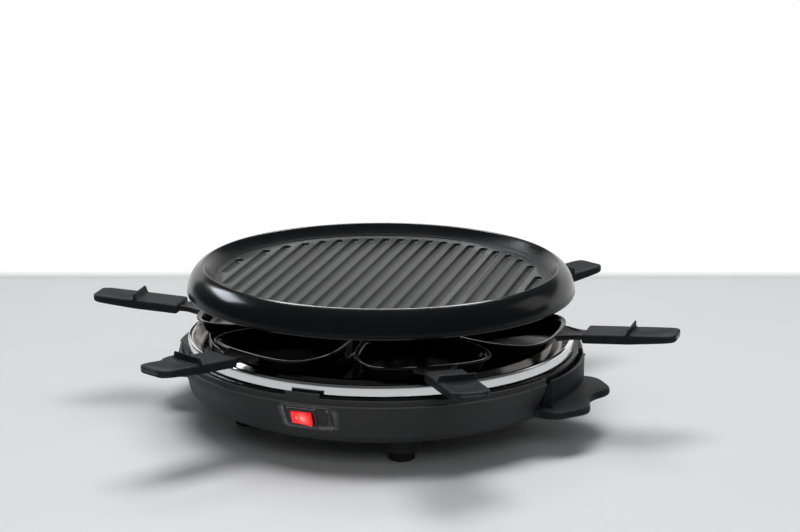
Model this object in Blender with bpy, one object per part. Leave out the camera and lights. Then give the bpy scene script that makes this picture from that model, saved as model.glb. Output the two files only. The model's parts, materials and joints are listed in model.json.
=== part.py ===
"""Round table-top raclette grill with a ribbed grill plate and six small pans.

Metres, +Z up. The origin lies on the table under the middle of the grill.
The switch faces -Y and the two carrying handles lie on the X axis.
"""

import math

import bmesh
import bpy
from mathutils import Matrix, Vector

# Fits
GAP = 0.0003
CUT_OVERRUN = 0.002
FILLET_STEPS = 5
ROUND_STEPS = 48
SMALL_ROUND_STEPS = 12
EDGE_ANGLE = 35.0

# Feet
FOOT_COUNT = 4
FOOT_AZIMUTH = -60.0
FOOT_MARGIN = 0.0010
PAD_RADIUS = 0.0098
PAD_HEIGHT = 0.0090
PAD_EDGE = 0.0012
PAD_SEAT_DEPTH = 0.0018
BOSS_WALL = 0.0022
BOSS_HEIGHT = 0.0110

# Base plate, which closes the housing from below
BASE_PLATE_INSET = 0.0050
BASE_PLATE_THICKNESS = 0.0025
PILLAR_RADIUS = 0.0170
PILLAR_HEIGHT = 0.0180
VENT_COUNT = 12
VENT_CIRCLE_RADIUS = 0.0620
VENT_LENGTH = 0.0240
VENT_WIDTH = 0.0040

# Base screws
SCREW_COUNT = 4
SCREW_AZIMUTH = -15.0
SCREW_HEAD_RADIUS = 0.0032
SCREW_HEAD_HEIGHT = 0.0018
SCREW_SHANK_RADIUS = 0.0015
SCREW_LENGTH = 0.0046
SCREW_CLEARANCE = 0.0003

# Housing
HOUSING_WALL = 0.0025
HOUSING_OVERHANG = 0.0353
HOUSING_LEDGE_RADIUS = 0.1578
HOUSING_LEDGE_HEIGHT = 0.0372
HOUSING_LIP_INSET = 0.0015
HOUSING_LIP_HEIGHT = 0.0044
HOUSING_LIP_WALL = 0.0022
LIP_EDGE = 0.0004
FLANGE_WIDTH = 0.0095
FLANGE_THICKNESS = 0.0025
RING_LEDGE_WIDTH = 0.0034
# Share of the way from the bottom edge out to the ledge, and up to it
BOWL_SHARES = (
    (0.0, 0.0),
    (0.198, 0.054),
    (0.391, 0.121),
    (0.567, 0.202),
    (0.677, 0.263),
    (0.742, 0.331),
    (0.773, 0.430),
    (0.807, 0.565),
    (0.892, 0.712),
    (0.960, 0.847),
    (1.0, 1.0),
)
TAB_HALF_ANGLE = 5.0
TAB_HEIGHT = 0.0036
NOTCH_DEPTH = 0.0125
STEP_ANGLE = 0.2

# Switch panel, set into the housing wall
PANEL_LEFT_ANGLE = 6.0
PANEL_RIGHT_ANGLE = 8.6
PANEL_DROP = 0.0028
PANEL_EDGE = 0.0009
PANEL_PROUD = 0.0004
PANEL_THICKNESS = 0.0030
PANEL_STEPS = 6
GROOVE_ANGLE = 7.3
GROOVE_WIDTH = 0.0009
GROOVE_DEPTH = 0.0006
GROOVE_END_MARGIN = 0.0014

# Switch
BEZEL_WIDTH = 0.0218
BEZEL_HEIGHT = 0.0152
BEZEL_THICKNESS = 0.0024
BEZEL_PROUD = 0.0007
BEZEL_LIP = 0.0014
SWITCH_BODY_DEPTH = 0.0160
WELL_END_WALL = 0.0005
WELL_SIDE_WALL = 0.0007
ROCKER_WELL_DEPTH = 0.0066
ROCKER_END_SPACE = 0.0009
ROCKER_SIDE_SPACE = 0.0003
ROCKER_EDGE_RISE = 0.0020
ROCKER_MIDDLE_RISE = 0.0006
ROCKER_SKIRT = 0.0018
ROCKER_PIVOT_DEPTH = 0.0034
ROCKER_TILT = -7.0

# Support ring under the reflector
RING_PROUD = 0.0010
RING_WALL = 0.0018
RING_CLEARANCE = 0.0007
RING_FLANGE_WIDTH = 0.0274
RING_FLANGE_THICKNESS = 0.0016

# Reflector
REFLECTOR_SHEET = 0.0010
REFLECTOR_GROOVE_DEPTH = 0.0077
REFLECTOR_INSET = 0.0003
REFLECTOR_BAND_RUN = 0.0028
REFLECTOR_BAND_HEIGHT = 0.0075
REFLECTOR_SHELF_RUN = 0.0043
REFLECTOR_RISE_RUN = 0.0035
REFLECTOR_GROOVE_WIDTH = 0.0035
REFLECTOR_SLOPE_RUN = 0.0035
REFLECTOR_SHELF_RISE = 0.0036
# Share of the way out and up, along the rounded rim bead
BEAD_SHARES = ((0.22, 0.52), (0.52, 0.86), (1.0, 1.0))
BAND_SHARES = ((0.55, 0.07), (0.80, 0.24), (1.0, 1.0))

# Supports for the grill plate and the heating element
SUPPORT_COUNT = 3
SUPPORT_AZIMUTH = 96.0
SUPPORT_RADIUS = 0.0455
SUPPORT_TIP_SPACE = 0.0007
SUPPORT_WIDTH = 0.0120
SUPPORT_SHEET = 0.0015
SUPPORT_HEIGHT = 0.0394
SUPPORT_FOOT = 0.0140
RIVET_HEAD_RADIUS = 0.0030
RIVET_HEAD_HEIGHT = 0.0013
RIVET_TAIL_RADIUS = 0.0026
RIVET_SHANK_RADIUS = 0.0014

# Heating element
ELEMENT_RADIUS = 0.0034
ELEMENT_TIP_SPACE = 0.0151
ELEMENT_PLATE_SPACE = 0.0016
ELEMENT_LEG_SPREAD = 0.0130
ELEMENT_LEG_DISTANCE = 0.0240
ELEMENT_BEND = 0.0120
ELEMENT_RING_POINTS = 40
BLOCK_INSERTION = 0.0080

# Terminal block and thermal cut-out
BLOCK_LENGTH = 0.0520
BLOCK_WIDTH = 0.0200
BLOCK_HEIGHT = 0.0170
BLOCK_EDGE = 0.0015
CUTOUT_RADIUS = 0.0090
CUTOUT_HEIGHT = 0.0060
CUTOUT_DISTANCE = 0.0150
LEG_HOLE_CLEARANCE = 0.0012
LEAD_RADIUS = 0.0040
LEAD_STUB = 0.0020
LEAD_REACH = 0.0300

# Cord gland
GLAND_HEIGHT = 0.0220
GLAND_RADIUS = 0.0062
GLAND_BORE_RADIUS = 0.0036
GLAND_COLLAR_RADIUS = 0.0078
GLAND_COLLAR_LENGTH = 0.0025
GLAND_STANDOFF = 0.0005
GLAND_INSIDE = 0.0080

# Grill plate
PLATE_FLOOR_THICKNESS = 0.0055
PLATE_STEP_HEIGHT = 0.0010
PLATE_WALL_RUN = 0.0120
PLATE_CREST_RISE = 0.0085
PLATE_OUTER_RADIUS = 0.1500
PLATE_RIM_RUN = 0.0100
PLATE_SKIRT_DROP = 0.0060
PLATE_SKIRT_WALL = 0.0024
PLATE_RIM_WALL = 0.0040
LOCATING_RING_MARGIN = 0.0028
LOCATING_RING_WIDTH = 0.0020
LOCATING_RING_DROP = 0.0028
# Outer side from the crest down to the skirt: share outward, share downward
RIM_SHARES = (
    (0.0, 0.0),
    (0.28, 0.025),
    (0.52, 0.10),
    (0.70, 0.22),
    (0.82, 0.40),
    (0.92, 0.66),
    (1.0, 0.96),
    (0.995, 1.0),
)
RIB_PITCH = 0.0120
GROOVE_TOP_WIDTH = 0.0072
GROOVE_FLOOR_WIDTH = 0.0038
RIB_HEIGHT = 0.0026
RIB_MARGIN = 0.0150
RIB_AZIMUTH = 97.6

# Pans
PAN_AZIMUTHS = (4.8, 62.6, 127.1, 187.4, 246.4, 307.5)
PAN_DEPTH = 0.0107
PAN_SHEET = 0.0011
PAN_FLANGE = 0.0024
PAN_TAPER = 0.0050
PAN_INNER_SPACE = 0.0045
PAN_OUTER_END = 0.1430
PAN_SIDE_SPACE = 0.0129
# Half of the pan's outline: share of its length from the inner end, share of its half width
PAN_OUTLINE_SHARES = (
    (0.000, 0.22),
    (0.022, 0.44),
    (0.095, 0.61),
    (0.226, 0.745),
    (0.390, 0.885),
    (0.560, 0.985),
    (0.710, 1.00),
    (0.850, 0.935),
    (0.935, 0.77),
    (0.980, 0.52),
    (1.000, 0.20),
)

# Pan shanks
SHANK_ROOT_OVERLAP = 0.0015
SHANK_ROOT_HALF_WIDTH = 0.0165
SHANK_HALF_WIDTH = 0.0085
SHANK_SHEET = 0.0012
SHANK_LEG = 0.0038
SHANK_RISE = 0.0006
TONGUE_LENGTH = 0.0240
TONGUE_HALF_WIDTH = 0.0060

# Pan handles
SHANK_REACH = 0.0190
HANDLE_LENGTH = 0.0715
HANDLE_HALF_WIDTH = 0.0147
HANDLE_THICKNESS = 0.0073
HANDLE_ABOVE_PAN = 0.0028
HANDLE_RISE = 0.0038
HANDLE_EDGE = 0.0016
FIN_HEIGHT = 0.0052
SCOOP_DEPTH = 0.0016
TIP_THICKNESS = 0.0054
# Share of the handle's length, share of its half width, fin share, scoop share
HANDLE_SHARES = (
    (0.000, 0.94, 0.0, 0.0),
    (0.020, 1.00, 0.0, 0.0),
    (0.440, 1.00, 0.0, 0.0),
    (0.460, 1.00, 0.92, 0.0),
    (0.482, 1.00, 1.0, 0.0),
    (0.505, 1.00, 0.85, 0.0),
    (0.530, 1.00, 0.10, 0.70),
    (0.620, 1.00, 0.0, 1.0),
    (0.760, 1.00, 0.0, 0.80),
    (0.900, 0.97, 0.0, 0.30),
    (0.965, 0.80, 0.0, 0.35),
    (1.000, 0.50, 0.0, 0.60),
)

# Carrying handles
GRIP_HALF_ANGLE = 20.0
GRIP_PANEL_HALF_ANGLE = 16.5
GRIP_SIDE_CLEARANCE = 0.3
GRIP_PANEL_WALL = 0.0018
GRIP_PANEL_PROUD = 0.0003
GRIP_PANEL_BLADE = 0.0008
GRIP_PANEL_RISE = 0.0018
GRIP_FLANGE_BOTTOM = 0.0120
GRIP_FLANGE_THICKNESS = 0.0058
GRIP_EDGE = 0.0016
GRIP_SWEEP = 0.0036
GRIP_REACH = 0.0224
# Share of the half angle, share of the reach beyond the housing
GRIP_SHARES = (
    (0.00, 0.60),
    (0.17, 0.69),
    (0.30, 0.87),
    (0.43, 0.98),
    (0.54, 0.92),
    (0.72, 0.68),
    (0.82, 0.50),
    (0.86, 0.43),
    (1.00, 0.14),
)

# Radii and widths, each from the piece that it fits
BOSS_RADIUS = PAD_RADIUS + BOSS_WALL
HOUSING_BOTTOM_RADIUS = HOUSING_LEDGE_RADIUS - HOUSING_OVERHANG
BASE_PLATE_RADIUS = HOUSING_BOTTOM_RADIUS - BASE_PLATE_INSET
FLANGE_INNER_RADIUS = BASE_PLATE_RADIUS - FLANGE_WIDTH
SCREW_CIRCLE_RADIUS = (BASE_PLATE_RADIUS + FLANGE_INNER_RADIUS) / 2
FOOT_CIRCLE_RADIUS = BASE_PLATE_RADIUS - FOOT_MARGIN - BOSS_RADIUS
HOUSING_LIP_RADIUS = HOUSING_LEDGE_RADIUS - HOUSING_LIP_INSET
PANEL_TOP = HOUSING_LEDGE_HEIGHT - PANEL_DROP
PANEL_BOTTOM = PANEL_TOP - BEZEL_HEIGHT - PANEL_EDGE * 2
SWITCH_BODY_WIDTH = BEZEL_WIDTH - BEZEL_LIP * 2
SWITCH_BODY_HEIGHT = BEZEL_HEIGHT - BEZEL_LIP * 2
ROCKER_WELL_WIDTH = SWITCH_BODY_WIDTH - WELL_END_WALL * 2
ROCKER_WELL_HEIGHT = SWITCH_BODY_HEIGHT - WELL_SIDE_WALL * 2
ROCKER_WIDTH = ROCKER_WELL_WIDTH - ROCKER_END_SPACE * 2
ROCKER_HEIGHT = ROCKER_WELL_HEIGHT - ROCKER_SIDE_SPACE * 2
RING_OUTER_RADIUS = HOUSING_LIP_RADIUS - HOUSING_LIP_WALL - RING_CLEARANCE
RING_FLANGE_INNER_RADIUS = RING_OUTER_RADIUS - RING_FLANGE_WIDTH
REFLECTOR_BAND_RADIUS = RING_OUTER_RADIUS - REFLECTOR_INSET
REFLECTOR_RIM_RADIUS = REFLECTOR_BAND_RADIUS - REFLECTOR_BAND_RUN
REFLECTOR_SHELF_RADIUS = REFLECTOR_RIM_RADIUS - REFLECTOR_SHELF_RUN
REFLECTOR_GROOVE_OUTER_RADIUS = REFLECTOR_SHELF_RADIUS - REFLECTOR_RISE_RUN
REFLECTOR_GROOVE_RADIUS = REFLECTOR_GROOVE_OUTER_RADIUS - REFLECTOR_GROOVE_WIDTH
REFLECTOR_FLOOR_RADIUS = REFLECTOR_GROOVE_RADIUS - REFLECTOR_SLOPE_RUN
PLATE_CREST_RADIUS = PLATE_OUTER_RADIUS - PLATE_RIM_RUN
PLATE_FLOOR_RADIUS = PLATE_CREST_RADIUS - PLATE_WALL_RUN
RIB_FIELD_RADIUS = PLATE_FLOOR_RADIUS - RIB_MARGIN
LOCATING_RING_RADIUS = PLATE_FLOOR_RADIUS - LOCATING_RING_MARGIN - LOCATING_RING_WIDTH
SUPPORT_REACH = LOCATING_RING_RADIUS - SUPPORT_TIP_SPACE
ELEMENT_RING_RADIUS = SUPPORT_REACH - ELEMENT_TIP_SPACE - ELEMENT_RADIUS
PAN_INNER_END = SUPPORT_RADIUS + PAN_INNER_SPACE
HANDLE_ROOT = PAN_OUTER_END + SHANK_REACH

# Levels above the table, each from the pieces below it
BASE_Z = PAD_HEIGHT + GAP - PAD_SEAT_DEPTH + BOSS_HEIGHT
PLATE_TOP_Z = BASE_Z + BASE_PLATE_THICKNESS
LEDGE_Z = BASE_Z + HOUSING_LEDGE_HEIGHT
LIP_Z = LEDGE_Z + HOUSING_LIP_HEIGHT
RING_TOP_Z = LIP_Z + RING_PROUD
REFLECTOR_GROOVE_Z = RING_TOP_Z + GAP + REFLECTOR_SHEET
RIM_Z = REFLECTOR_GROOVE_Z + REFLECTOR_GROOVE_DEPTH
PAN_Z = RIM_Z + GAP
PAN_RIM_Z = PAN_Z + PAN_DEPTH
SUPPORT_Z = RIM_Z + GAP
SEAT_Z = SUPPORT_Z + SUPPORT_HEIGHT + GAP
GRILL_FLOOR_Z = SEAT_Z + PLATE_FLOOR_THICKNESS
CREST_Z = GRILL_FLOOR_Z + PLATE_CREST_RISE
ELEMENT_Z = SEAT_Z - ELEMENT_PLATE_SPACE - ELEMENT_RADIUS
BLOCK_Z = PLATE_TOP_Z + PILLAR_HEIGHT + GAP
BLOCK_TOP_Z = BLOCK_Z + BLOCK_HEIGHT
ELEMENT_AZIMUTH = SUPPORT_AZIMUTH + 180.0
SWITCH_AZIMUTH = -90.0
GLAND_AZIMUTH = 90.0


# Materials


def make_material(name, colour, roughness, metallic):
    """A plain Principled finish."""
    material = bpy.data.materials.new(name)
    material.use_nodes = True
    shader = material.node_tree.nodes["Principled BSDF"]
    shader.inputs["Base Color"].default_value = (*colour, 1.0)
    shader.inputs["Roughness"].default_value = roughness
    shader.inputs["Metallic"].default_value = metallic
    material.diffuse_color = (*colour, 1.0)
    return material


def make_materials():
    """Every finish on the grill, by name."""
    return {
        "housing_plastic": make_material("housing_plastic", (0.022, 0.022, 0.024), 0.55, 0.0),
        "handle_plastic": make_material("handle_plastic", (0.030, 0.030, 0.032), 0.60, 0.0),
        "dark_ring": make_material("dark_ring", (0.016, 0.016, 0.017), 0.45, 0.0),
        "mirror_steel": make_material("mirror_steel", (0.78, 0.78, 0.77), 0.12, 1.0),
        "plate_coating": make_material("plate_coating", (0.020, 0.022, 0.025), 0.38, 0.0),
        "pan_enamel": make_material("pan_enamel", (0.010, 0.010, 0.011), 0.18, 0.0),
        "black_steel": make_material("black_steel", (0.05, 0.05, 0.05), 0.40, 0.9),
        "element_steel": make_material("element_steel", (0.20, 0.19, 0.18), 0.45, 1.0),
        "zinc_steel": make_material("zinc_steel", (0.55, 0.55, 0.54), 0.35, 1.0),
        "rubber": make_material("rubber", (0.02, 0.02, 0.02), 0.85, 0.0),
        "ceramic": make_material("ceramic", (0.80, 0.77, 0.70), 0.50, 0.0),
        "red_lens": make_material("red_lens", (0.70, 0.02, 0.02), 0.25, 0.0),
        "lead_sleeve": make_material("lead_sleeve", (0.62, 0.60, 0.55), 0.60, 0.0),
    }


# Geometry helpers


def polar(radius, degrees, z=0.0):
    """A point at a radius and an azimuth."""
    angle = math.radians(degrees)
    return Vector((radius * math.cos(angle), radius * math.sin(angle), z))


def place_points(start, end, shares):
    """Points between two (radius, height) corners at the given shares."""
    return [(start[0] + (end[0] - start[0]) * across, start[1] + (end[1] - start[1]) * up)
            for across, up in shares]


def offset_line(points, distance):
    """The polyline moved sideways by a distance, to the right of its direction."""
    moved = []
    for index, point in enumerate(points):
        before = points[max(index - 1, 0)]
        after = points[min(index + 1, len(points) - 1)]
        first = Vector((point[0] - before[0], point[1] - before[1]))
        second = Vector((after[0] - point[0], after[1] - point[1]))
        if first.length == 0:
            first = second
        if second.length == 0:
            second = first
        first.normalize()
        second.normalize()
        middle = (first + second).normalized()
        stretch = 1.0 / max(middle.dot(first), 0.5)
        moved.append((point[0] + middle[1] * distance * stretch,
                      point[1] - middle[0] * distance * stretch))
    return moved


def finish_object(name, shape, material, smooth=True):
    """A named object from a bmesh, with its faces pointing out."""
    bmesh.ops.recalc_face_normals(shape, faces=shape.faces)
    mesh = bpy.data.meshes.new(name)
    shape.to_mesh(mesh)
    shape.free()
    mesh.materials.append(material)
    if smooth:
        mesh.shade_smooth()
        mesh.set_sharp_from_angle(angle=math.radians(EDGE_ANGLE))
    made = bpy.data.objects.new(name, mesh)
    bpy.context.scene.collection.objects.link(made)
    return made


def bridge_sections(sections, closed_loop, closed_way):
    """A skin over sections of equal length; closed_loop joins each section's own ends."""
    shape = bmesh.new()
    rows = [[shape.verts.new(point) for point in section] for section in sections]
    row_pairs = list(zip(rows, rows[1:]))
    if closed_way:
        row_pairs.append((rows[-1], rows[0]))
    size = len(rows[0])
    span = size if closed_loop else size - 1
    for row, following in row_pairs:
        for index in range(span):
            step = (index + 1) % size
            shape.faces.new((row[index], row[step], following[step], following[index]))
    if not closed_way:
        shape.faces.new(rows[0])
        shape.faces.new(rows[-1])
    return shape


def turned(profile, steps=ROUND_STEPS, loop=False):
    """A profile of (radius, height) turned about Z; without a loop its ends lie on the axis."""
    inner = profile if loop else profile[1:-1]
    sections = [[polar(radius, 360.0 * step / steps, z) for radius, z in inner] for step in range(steps)]
    shape = bridge_sections(sections, loop, True)
    if not loop:
        size = len(inner)
        verts = list(shape.verts)
        for end, offset in ((profile[0], 0), (profile[-1], size - 1)):
            ring = [verts[step * size + offset] for step in range(steps)]
            centre = shape.verts.new((0.0, 0.0, end[1]))
            for step in range(steps):
                shape.faces.new((centre, ring[step], ring[(step + 1) % steps]))
    return shape


def extruded(outline, low, high):
    """A closed XY outline raised from one height to another."""
    sections = [[Vector((x, y, z)) for x, y in outline] for z in (low, high)]
    return bridge_sections(sections, True, False)


def box_shape(low, high):
    """A box between two corners."""
    outline = [(low[0], low[1]), (high[0], low[1]), (high[0], high[1]), (low[0], high[1])]
    return extruded(outline, low[2], high[2])


def cylinder_shape(radius, low, high, steps=SMALL_ROUND_STEPS):
    """An upright cylinder."""
    outline = [polar(radius, 360.0 * step / steps)[:2] for step in range(steps)]
    return extruded(outline, low, high)


def rounded_outline(half_width, half_height, radius, steps=FILLET_STEPS):
    """A rectangle about the origin with rounded corners."""
    points = []
    corners = ((1, 1, 0.0), (-1, 1, 90.0), (-1, -1, 180.0), (1, -1, 270.0))
    for side_x, side_y, start in corners:
        centre_x = side_x * (half_width - radius)
        centre_y = side_y * (half_height - radius)
        for step in range(steps + 1):
            reach = polar(radius, start + 90.0 * step / steps)
            points.append((centre_x + reach.x, centre_y + reach.y))
    return points


def move_shape(shape, matrix):
    """A bmesh moved by a matrix."""
    bmesh.ops.transform(shape, matrix=matrix, verts=shape.verts)
    return shape


def spin_about_z(degrees):
    """A turn about the grill's upright axis."""
    return Matrix.Rotation(math.radians(degrees), 4, "Z")


def cut_with(target, name, shape, operation="DIFFERENCE"):
    """A Boolean on the target with a wire-drawn helper shape."""
    bmesh.ops.recalc_face_normals(shape, faces=shape.faces)
    mesh = bpy.data.meshes.new(name)
    shape.to_mesh(mesh)
    shape.free()
    helper = bpy.data.objects.new(name, mesh)
    bpy.context.scene.collection.objects.link(helper)
    helper.hide_render = True
    helper.display_type = "WIRE"
    helper.parent = target
    modifier = target.modifiers.new(name, "BOOLEAN")
    modifier.operation = operation
    modifier.solver = "EXACT"
    modifier.object = helper
    return helper


def seat_at(made, azimuth):
    """An object modelled along +X, turned to its azimuth."""
    made.rotation_euler.z = math.radians(azimuth)
    return made


# Housing and base


def wall_radius(z):
    """Outer radius of the housing bowl at a height."""
    points = bowl_points()
    for low, high in zip(points, points[1:]):
        if z <= high[1]:
            share = (z - low[1]) / (high[1] - low[1])
            return low[0] + (high[0] - low[0]) * share
    return points[-1][0]


def bowl_points():
    """The bowl's outer side, from its bottom edge up to the ledge."""
    return place_points((HOUSING_BOTTOM_RADIUS, BASE_Z), (HOUSING_LEDGE_RADIUS, LEDGE_Z), BOWL_SHARES)


def feature_angles(edges):
    """Azimuths round the housing, with a close pair at each edge of a raised or cut part."""
    pitch = 360.0 / ROUND_STEPS
    angles = []
    for step in range(ROUND_STEPS):
        angle = pitch * step
        nearest = min(abs((angle - edge + 180.0) % 360.0 - 180.0) for edge in edges)
        if nearest > STEP_ANGLE:
            angles.append(angle)
    for edge in edges:
        angles.append((edge - STEP_ANGLE / 2) % 360.0)
        angles.append((edge + STEP_ANGLE / 2) % 360.0)
    return sorted(angles)


def away_from(angle, middle):
    """Unsigned angle between two azimuths."""
    return abs((angle - middle + 180.0) % 360.0 - 180.0)


def behind_grip(angle):
    """Whether an azimuth lies behind a carrying handle's panel."""
    return min(away_from(angle, 0.0), away_from(angle, 180.0)) < GRIP_PANEL_HALF_ANGLE + GRIP_SIDE_CLEARANCE


def lip_top(angle):
    """Height of the housing's lip: raised over the switch and cut down behind each handle."""
    if away_from(angle, SWITCH_AZIMUTH) < TAB_HALF_ANGLE:
        return LIP_Z + TAB_HEIGHT
    return LIP_Z - NOTCH_DEPTH if behind_grip(angle) else LIP_Z


def sunk_radius(angle, z):
    """Outer radius of the housing, which steps in where a handle's panel lies in it."""
    sunk = behind_grip(angle) and z > BASE_Z + GRIP_FLANGE_BOTTOM + GRIP_FLANGE_THICKNESS
    return wall_radius(z) - (GRIP_PANEL_WALL + GAP if sunk else 0.0)


def housing_section(angle):
    """The housing wall's closed section at an azimuth."""
    outer = bowl_points()
    inner = offset_line(outer, -HOUSING_WALL)
    top = lip_top(angle)
    ledge = min(LEDGE_Z, top - LIP_EDGE)
    lip_inner = HOUSING_LIP_RADIUS - HOUSING_LIP_WALL
    seat = min(LEDGE_Z, top - LIP_EDGE)
    flange_top = PLATE_TOP_Z + GAP + FLANGE_THICKNESS
    ledge_radius = sunk_radius(angle, ledge)
    lip_foot = min(HOUSING_LIP_RADIUS, ledge_radius - LIP_EDGE)
    lip_inner = min(lip_inner, lip_foot - HOUSING_LIP_WALL / 2)
    section = [(BASE_PLATE_RADIUS + GAP, BASE_Z)]
    flange = BASE_Z + GRIP_FLANGE_BOTTOM + GRIP_FLANGE_THICKNESS
    levels = [z for _, z in outer[:-1] if abs(z - flange) > GRIP_SWEEP / 2] + [flange, flange + GAP]
    for z in sorted(levels):
        level = min(z, ledge - LIP_EDGE)
        section.append((sunk_radius(angle, level), level))
    section += [
        (ledge_radius, ledge),
        (lip_foot, min(ledge + LIP_EDGE / 2, top - LIP_EDGE / 2)),
        (lip_foot, top - LIP_EDGE / 4),
        (lip_foot - LIP_EDGE, top),
        (lip_inner, top),
        (lip_inner, seat),
        (lip_inner - RING_LEDGE_WIDTH, seat - LIP_EDGE),
        (inner[6][0], inner[6][1]),
        (inner[3][0], inner[3][1]),
        (FLANGE_INNER_RADIUS, flange_top),
        (FLANGE_INNER_RADIUS, PLATE_TOP_Z + GAP),
        (BASE_PLATE_RADIUS + GAP, PLATE_TOP_Z + GAP),
    ]
    return section


def make_housing(materials):
    """The bowl-shaped outer housing."""
    half = GRIP_PANEL_HALF_ANGLE + GRIP_SIDE_CLEARANCE
    edges = [SWITCH_AZIMUTH - TAB_HALF_ANGLE, SWITCH_AZIMUTH + TAB_HALF_ANGLE,
             -half, half, 180.0 - half, 180.0 + half]
    edges = [edge % 360.0 for edge in edges]
    sections = []
    for angle in feature_angles(edges):
        sections.append([polar(radius, angle, z) for radius, z in housing_section(angle)])
    shape = bridge_sections(sections, True, True)
    housing = finish_object("base_housing", shape, materials["housing_plastic"])
    cut_with(housing, "panel_window", panel_wedge(GAP, CUT_OVERRUN))
    for index in range(SCREW_COUNT):
        hole = cylinder_shape(SCREW_SHANK_RADIUS + SCREW_CLEARANCE, BASE_Z, PLATE_TOP_Z + GAP
                              + FLANGE_THICKNESS + CUT_OVERRUN)
        cut_with(housing, f"flange_hole_{index + 1}", move_shape(hole, screw_place(index)))
    gland_hole = cylinder_shape(GLAND_RADIUS + GAP, -GLAND_INSIDE, GLAND_INSIDE + gland_outside())
    cut_with(housing, "gland_hole", move_shape(gland_hole, gland_place()))
    return housing


def panel_angles(margin):
    """Azimuths across the switch panel, from its left end to its right."""
    spare = math.degrees(margin / HOUSING_LEDGE_RADIUS)
    start = SWITCH_AZIMUTH - PANEL_LEFT_ANGLE - spare
    span = PANEL_LEFT_ANGLE + PANEL_RIGHT_ANGLE + spare * 2
    return [start + span * step / PANEL_STEPS for step in range(PANEL_STEPS + 1)]


def panel_wedge(margin, overrun):
    """The space that the switch panel takes in the wall, as a curved block."""
    low = BASE_Z + PANEL_BOTTOM - margin
    high = BASE_Z + PANEL_TOP + margin
    inside = wall_radius(low) - HOUSING_WALL - PANEL_THICKNESS - overrun
    outside = HOUSING_LEDGE_RADIUS + overrun
    corners = ((inside, low), (outside, low), (outside, high), (inside, high))
    sections = [[polar(radius, angle, z) for radius, z in corners] for angle in panel_angles(margin)]
    return bridge_sections(sections, True, False)


def screw_place(index):
    """Where a base screw goes."""
    spot = polar(SCREW_CIRCLE_RADIUS, SCREW_AZIMUTH + 360.0 * index / SCREW_COUNT)
    return Matrix.Translation(spot)


def foot_place(index):
    """Where a foot goes."""
    spot = polar(FOOT_CIRCLE_RADIUS, FOOT_AZIMUTH + 360.0 * index / FOOT_COUNT)
    return Matrix.Translation(spot)


def make_base_plate(materials):
    """The cover under the housing, with its foot bosses, pillar and vents."""
    edge = BASE_PLATE_THICKNESS / 4
    profile = [
        (0.0, PLATE_TOP_Z),
        (BASE_PLATE_RADIUS - edge, PLATE_TOP_Z),
        (BASE_PLATE_RADIUS, PLATE_TOP_Z - edge),
        (BASE_PLATE_RADIUS, BASE_Z + edge),
        (BASE_PLATE_RADIUS - edge, BASE_Z),
        (0.0, BASE_Z),
    ]
    plate = finish_object("base_plate", turned(profile), materials["housing_plastic"])
    inside = BASE_PLATE_THICKNESS / 2
    pillar = cylinder_shape(PILLAR_RADIUS, PLATE_TOP_Z - inside, PLATE_TOP_Z + PILLAR_HEIGHT)
    middle = spin_about_z(ELEMENT_AZIMUTH) @ Matrix.Translation((ELEMENT_LEG_DISTANCE, 0.0, 0.0))
    cut_with(plate, "pillar", move_shape(pillar, middle), "UNION")
    for index in range(FOOT_COUNT):
        boss = cylinder_shape(BOSS_RADIUS, BASE_Z - BOSS_HEIGHT, BASE_Z + inside)
        cut_with(plate, f"boss_{index + 1}", move_shape(boss, foot_place(index)), "UNION")
    for index in range(FOOT_COUNT):
        seat = cylinder_shape(PAD_RADIUS + GAP, BASE_Z - BOSS_HEIGHT - CUT_OVERRUN,
                              BASE_Z - BOSS_HEIGHT + PAD_SEAT_DEPTH)
        cut_with(plate, f"pad_seat_{index + 1}", move_shape(seat, foot_place(index)))
    for index in range(SCREW_COUNT):
        hole = cylinder_shape(SCREW_SHANK_RADIUS + SCREW_CLEARANCE, BASE_Z - CUT_OVERRUN,
                              PLATE_TOP_Z + CUT_OVERRUN)
        cut_with(plate, f"screw_hole_{index + 1}", move_shape(hole, screw_place(index)))
    for index in range(VENT_COUNT):
        slot = box_shape((VENT_CIRCLE_RADIUS - VENT_LENGTH / 2, -VENT_WIDTH / 2, BASE_Z - CUT_OVERRUN),
                         (VENT_CIRCLE_RADIUS + VENT_LENGTH / 2, VENT_WIDTH / 2, PLATE_TOP_Z + CUT_OVERRUN))
        turn = spin_about_z(360.0 * (index + 0.5) / VENT_COUNT)
        cut_with(plate, f"vent_{index + 1}", move_shape(slot, turn))
    return plate


def make_feet(materials):
    """The rubber pads, each pressed up into its boss."""
    profile = [
        (0.0, PAD_HEIGHT),
        (PAD_RADIUS, PAD_HEIGHT),
        (PAD_RADIUS, PAD_EDGE),
        (PAD_RADIUS - PAD_EDGE, 0.0),
        (0.0, 0.0),
    ]
    for index in range(FOOT_COUNT):
        pad = finish_object(f"foot_pad_{index + 1}", turned(profile, SMALL_ROUND_STEPS), materials["rubber"])
        pad.location = foot_place(index).to_translation()


def make_base_screws(materials):
    """The screws that hold the base plate to the housing."""
    top = BASE_Z - GAP
    profile = [
        (0.0, BASE_Z + SCREW_LENGTH),
        (SCREW_SHANK_RADIUS, BASE_Z + SCREW_LENGTH),
        (SCREW_SHANK_RADIUS, top),
        (SCREW_HEAD_RADIUS, top),
        (SCREW_HEAD_RADIUS, top - SCREW_HEAD_HEIGHT / 2),
        (SCREW_HEAD_RADIUS / 2, top - SCREW_HEAD_HEIGHT),
        (0.0, top - SCREW_HEAD_HEIGHT),
    ]
    for index in range(SCREW_COUNT):
        shape = turned(profile, SMALL_ROUND_STEPS)
        screw = finish_object(f"base_screw_{index + 1}", shape, materials["zinc_steel"])
        screw.location = screw_place(index).to_translation()


# Carrying handles


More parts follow.
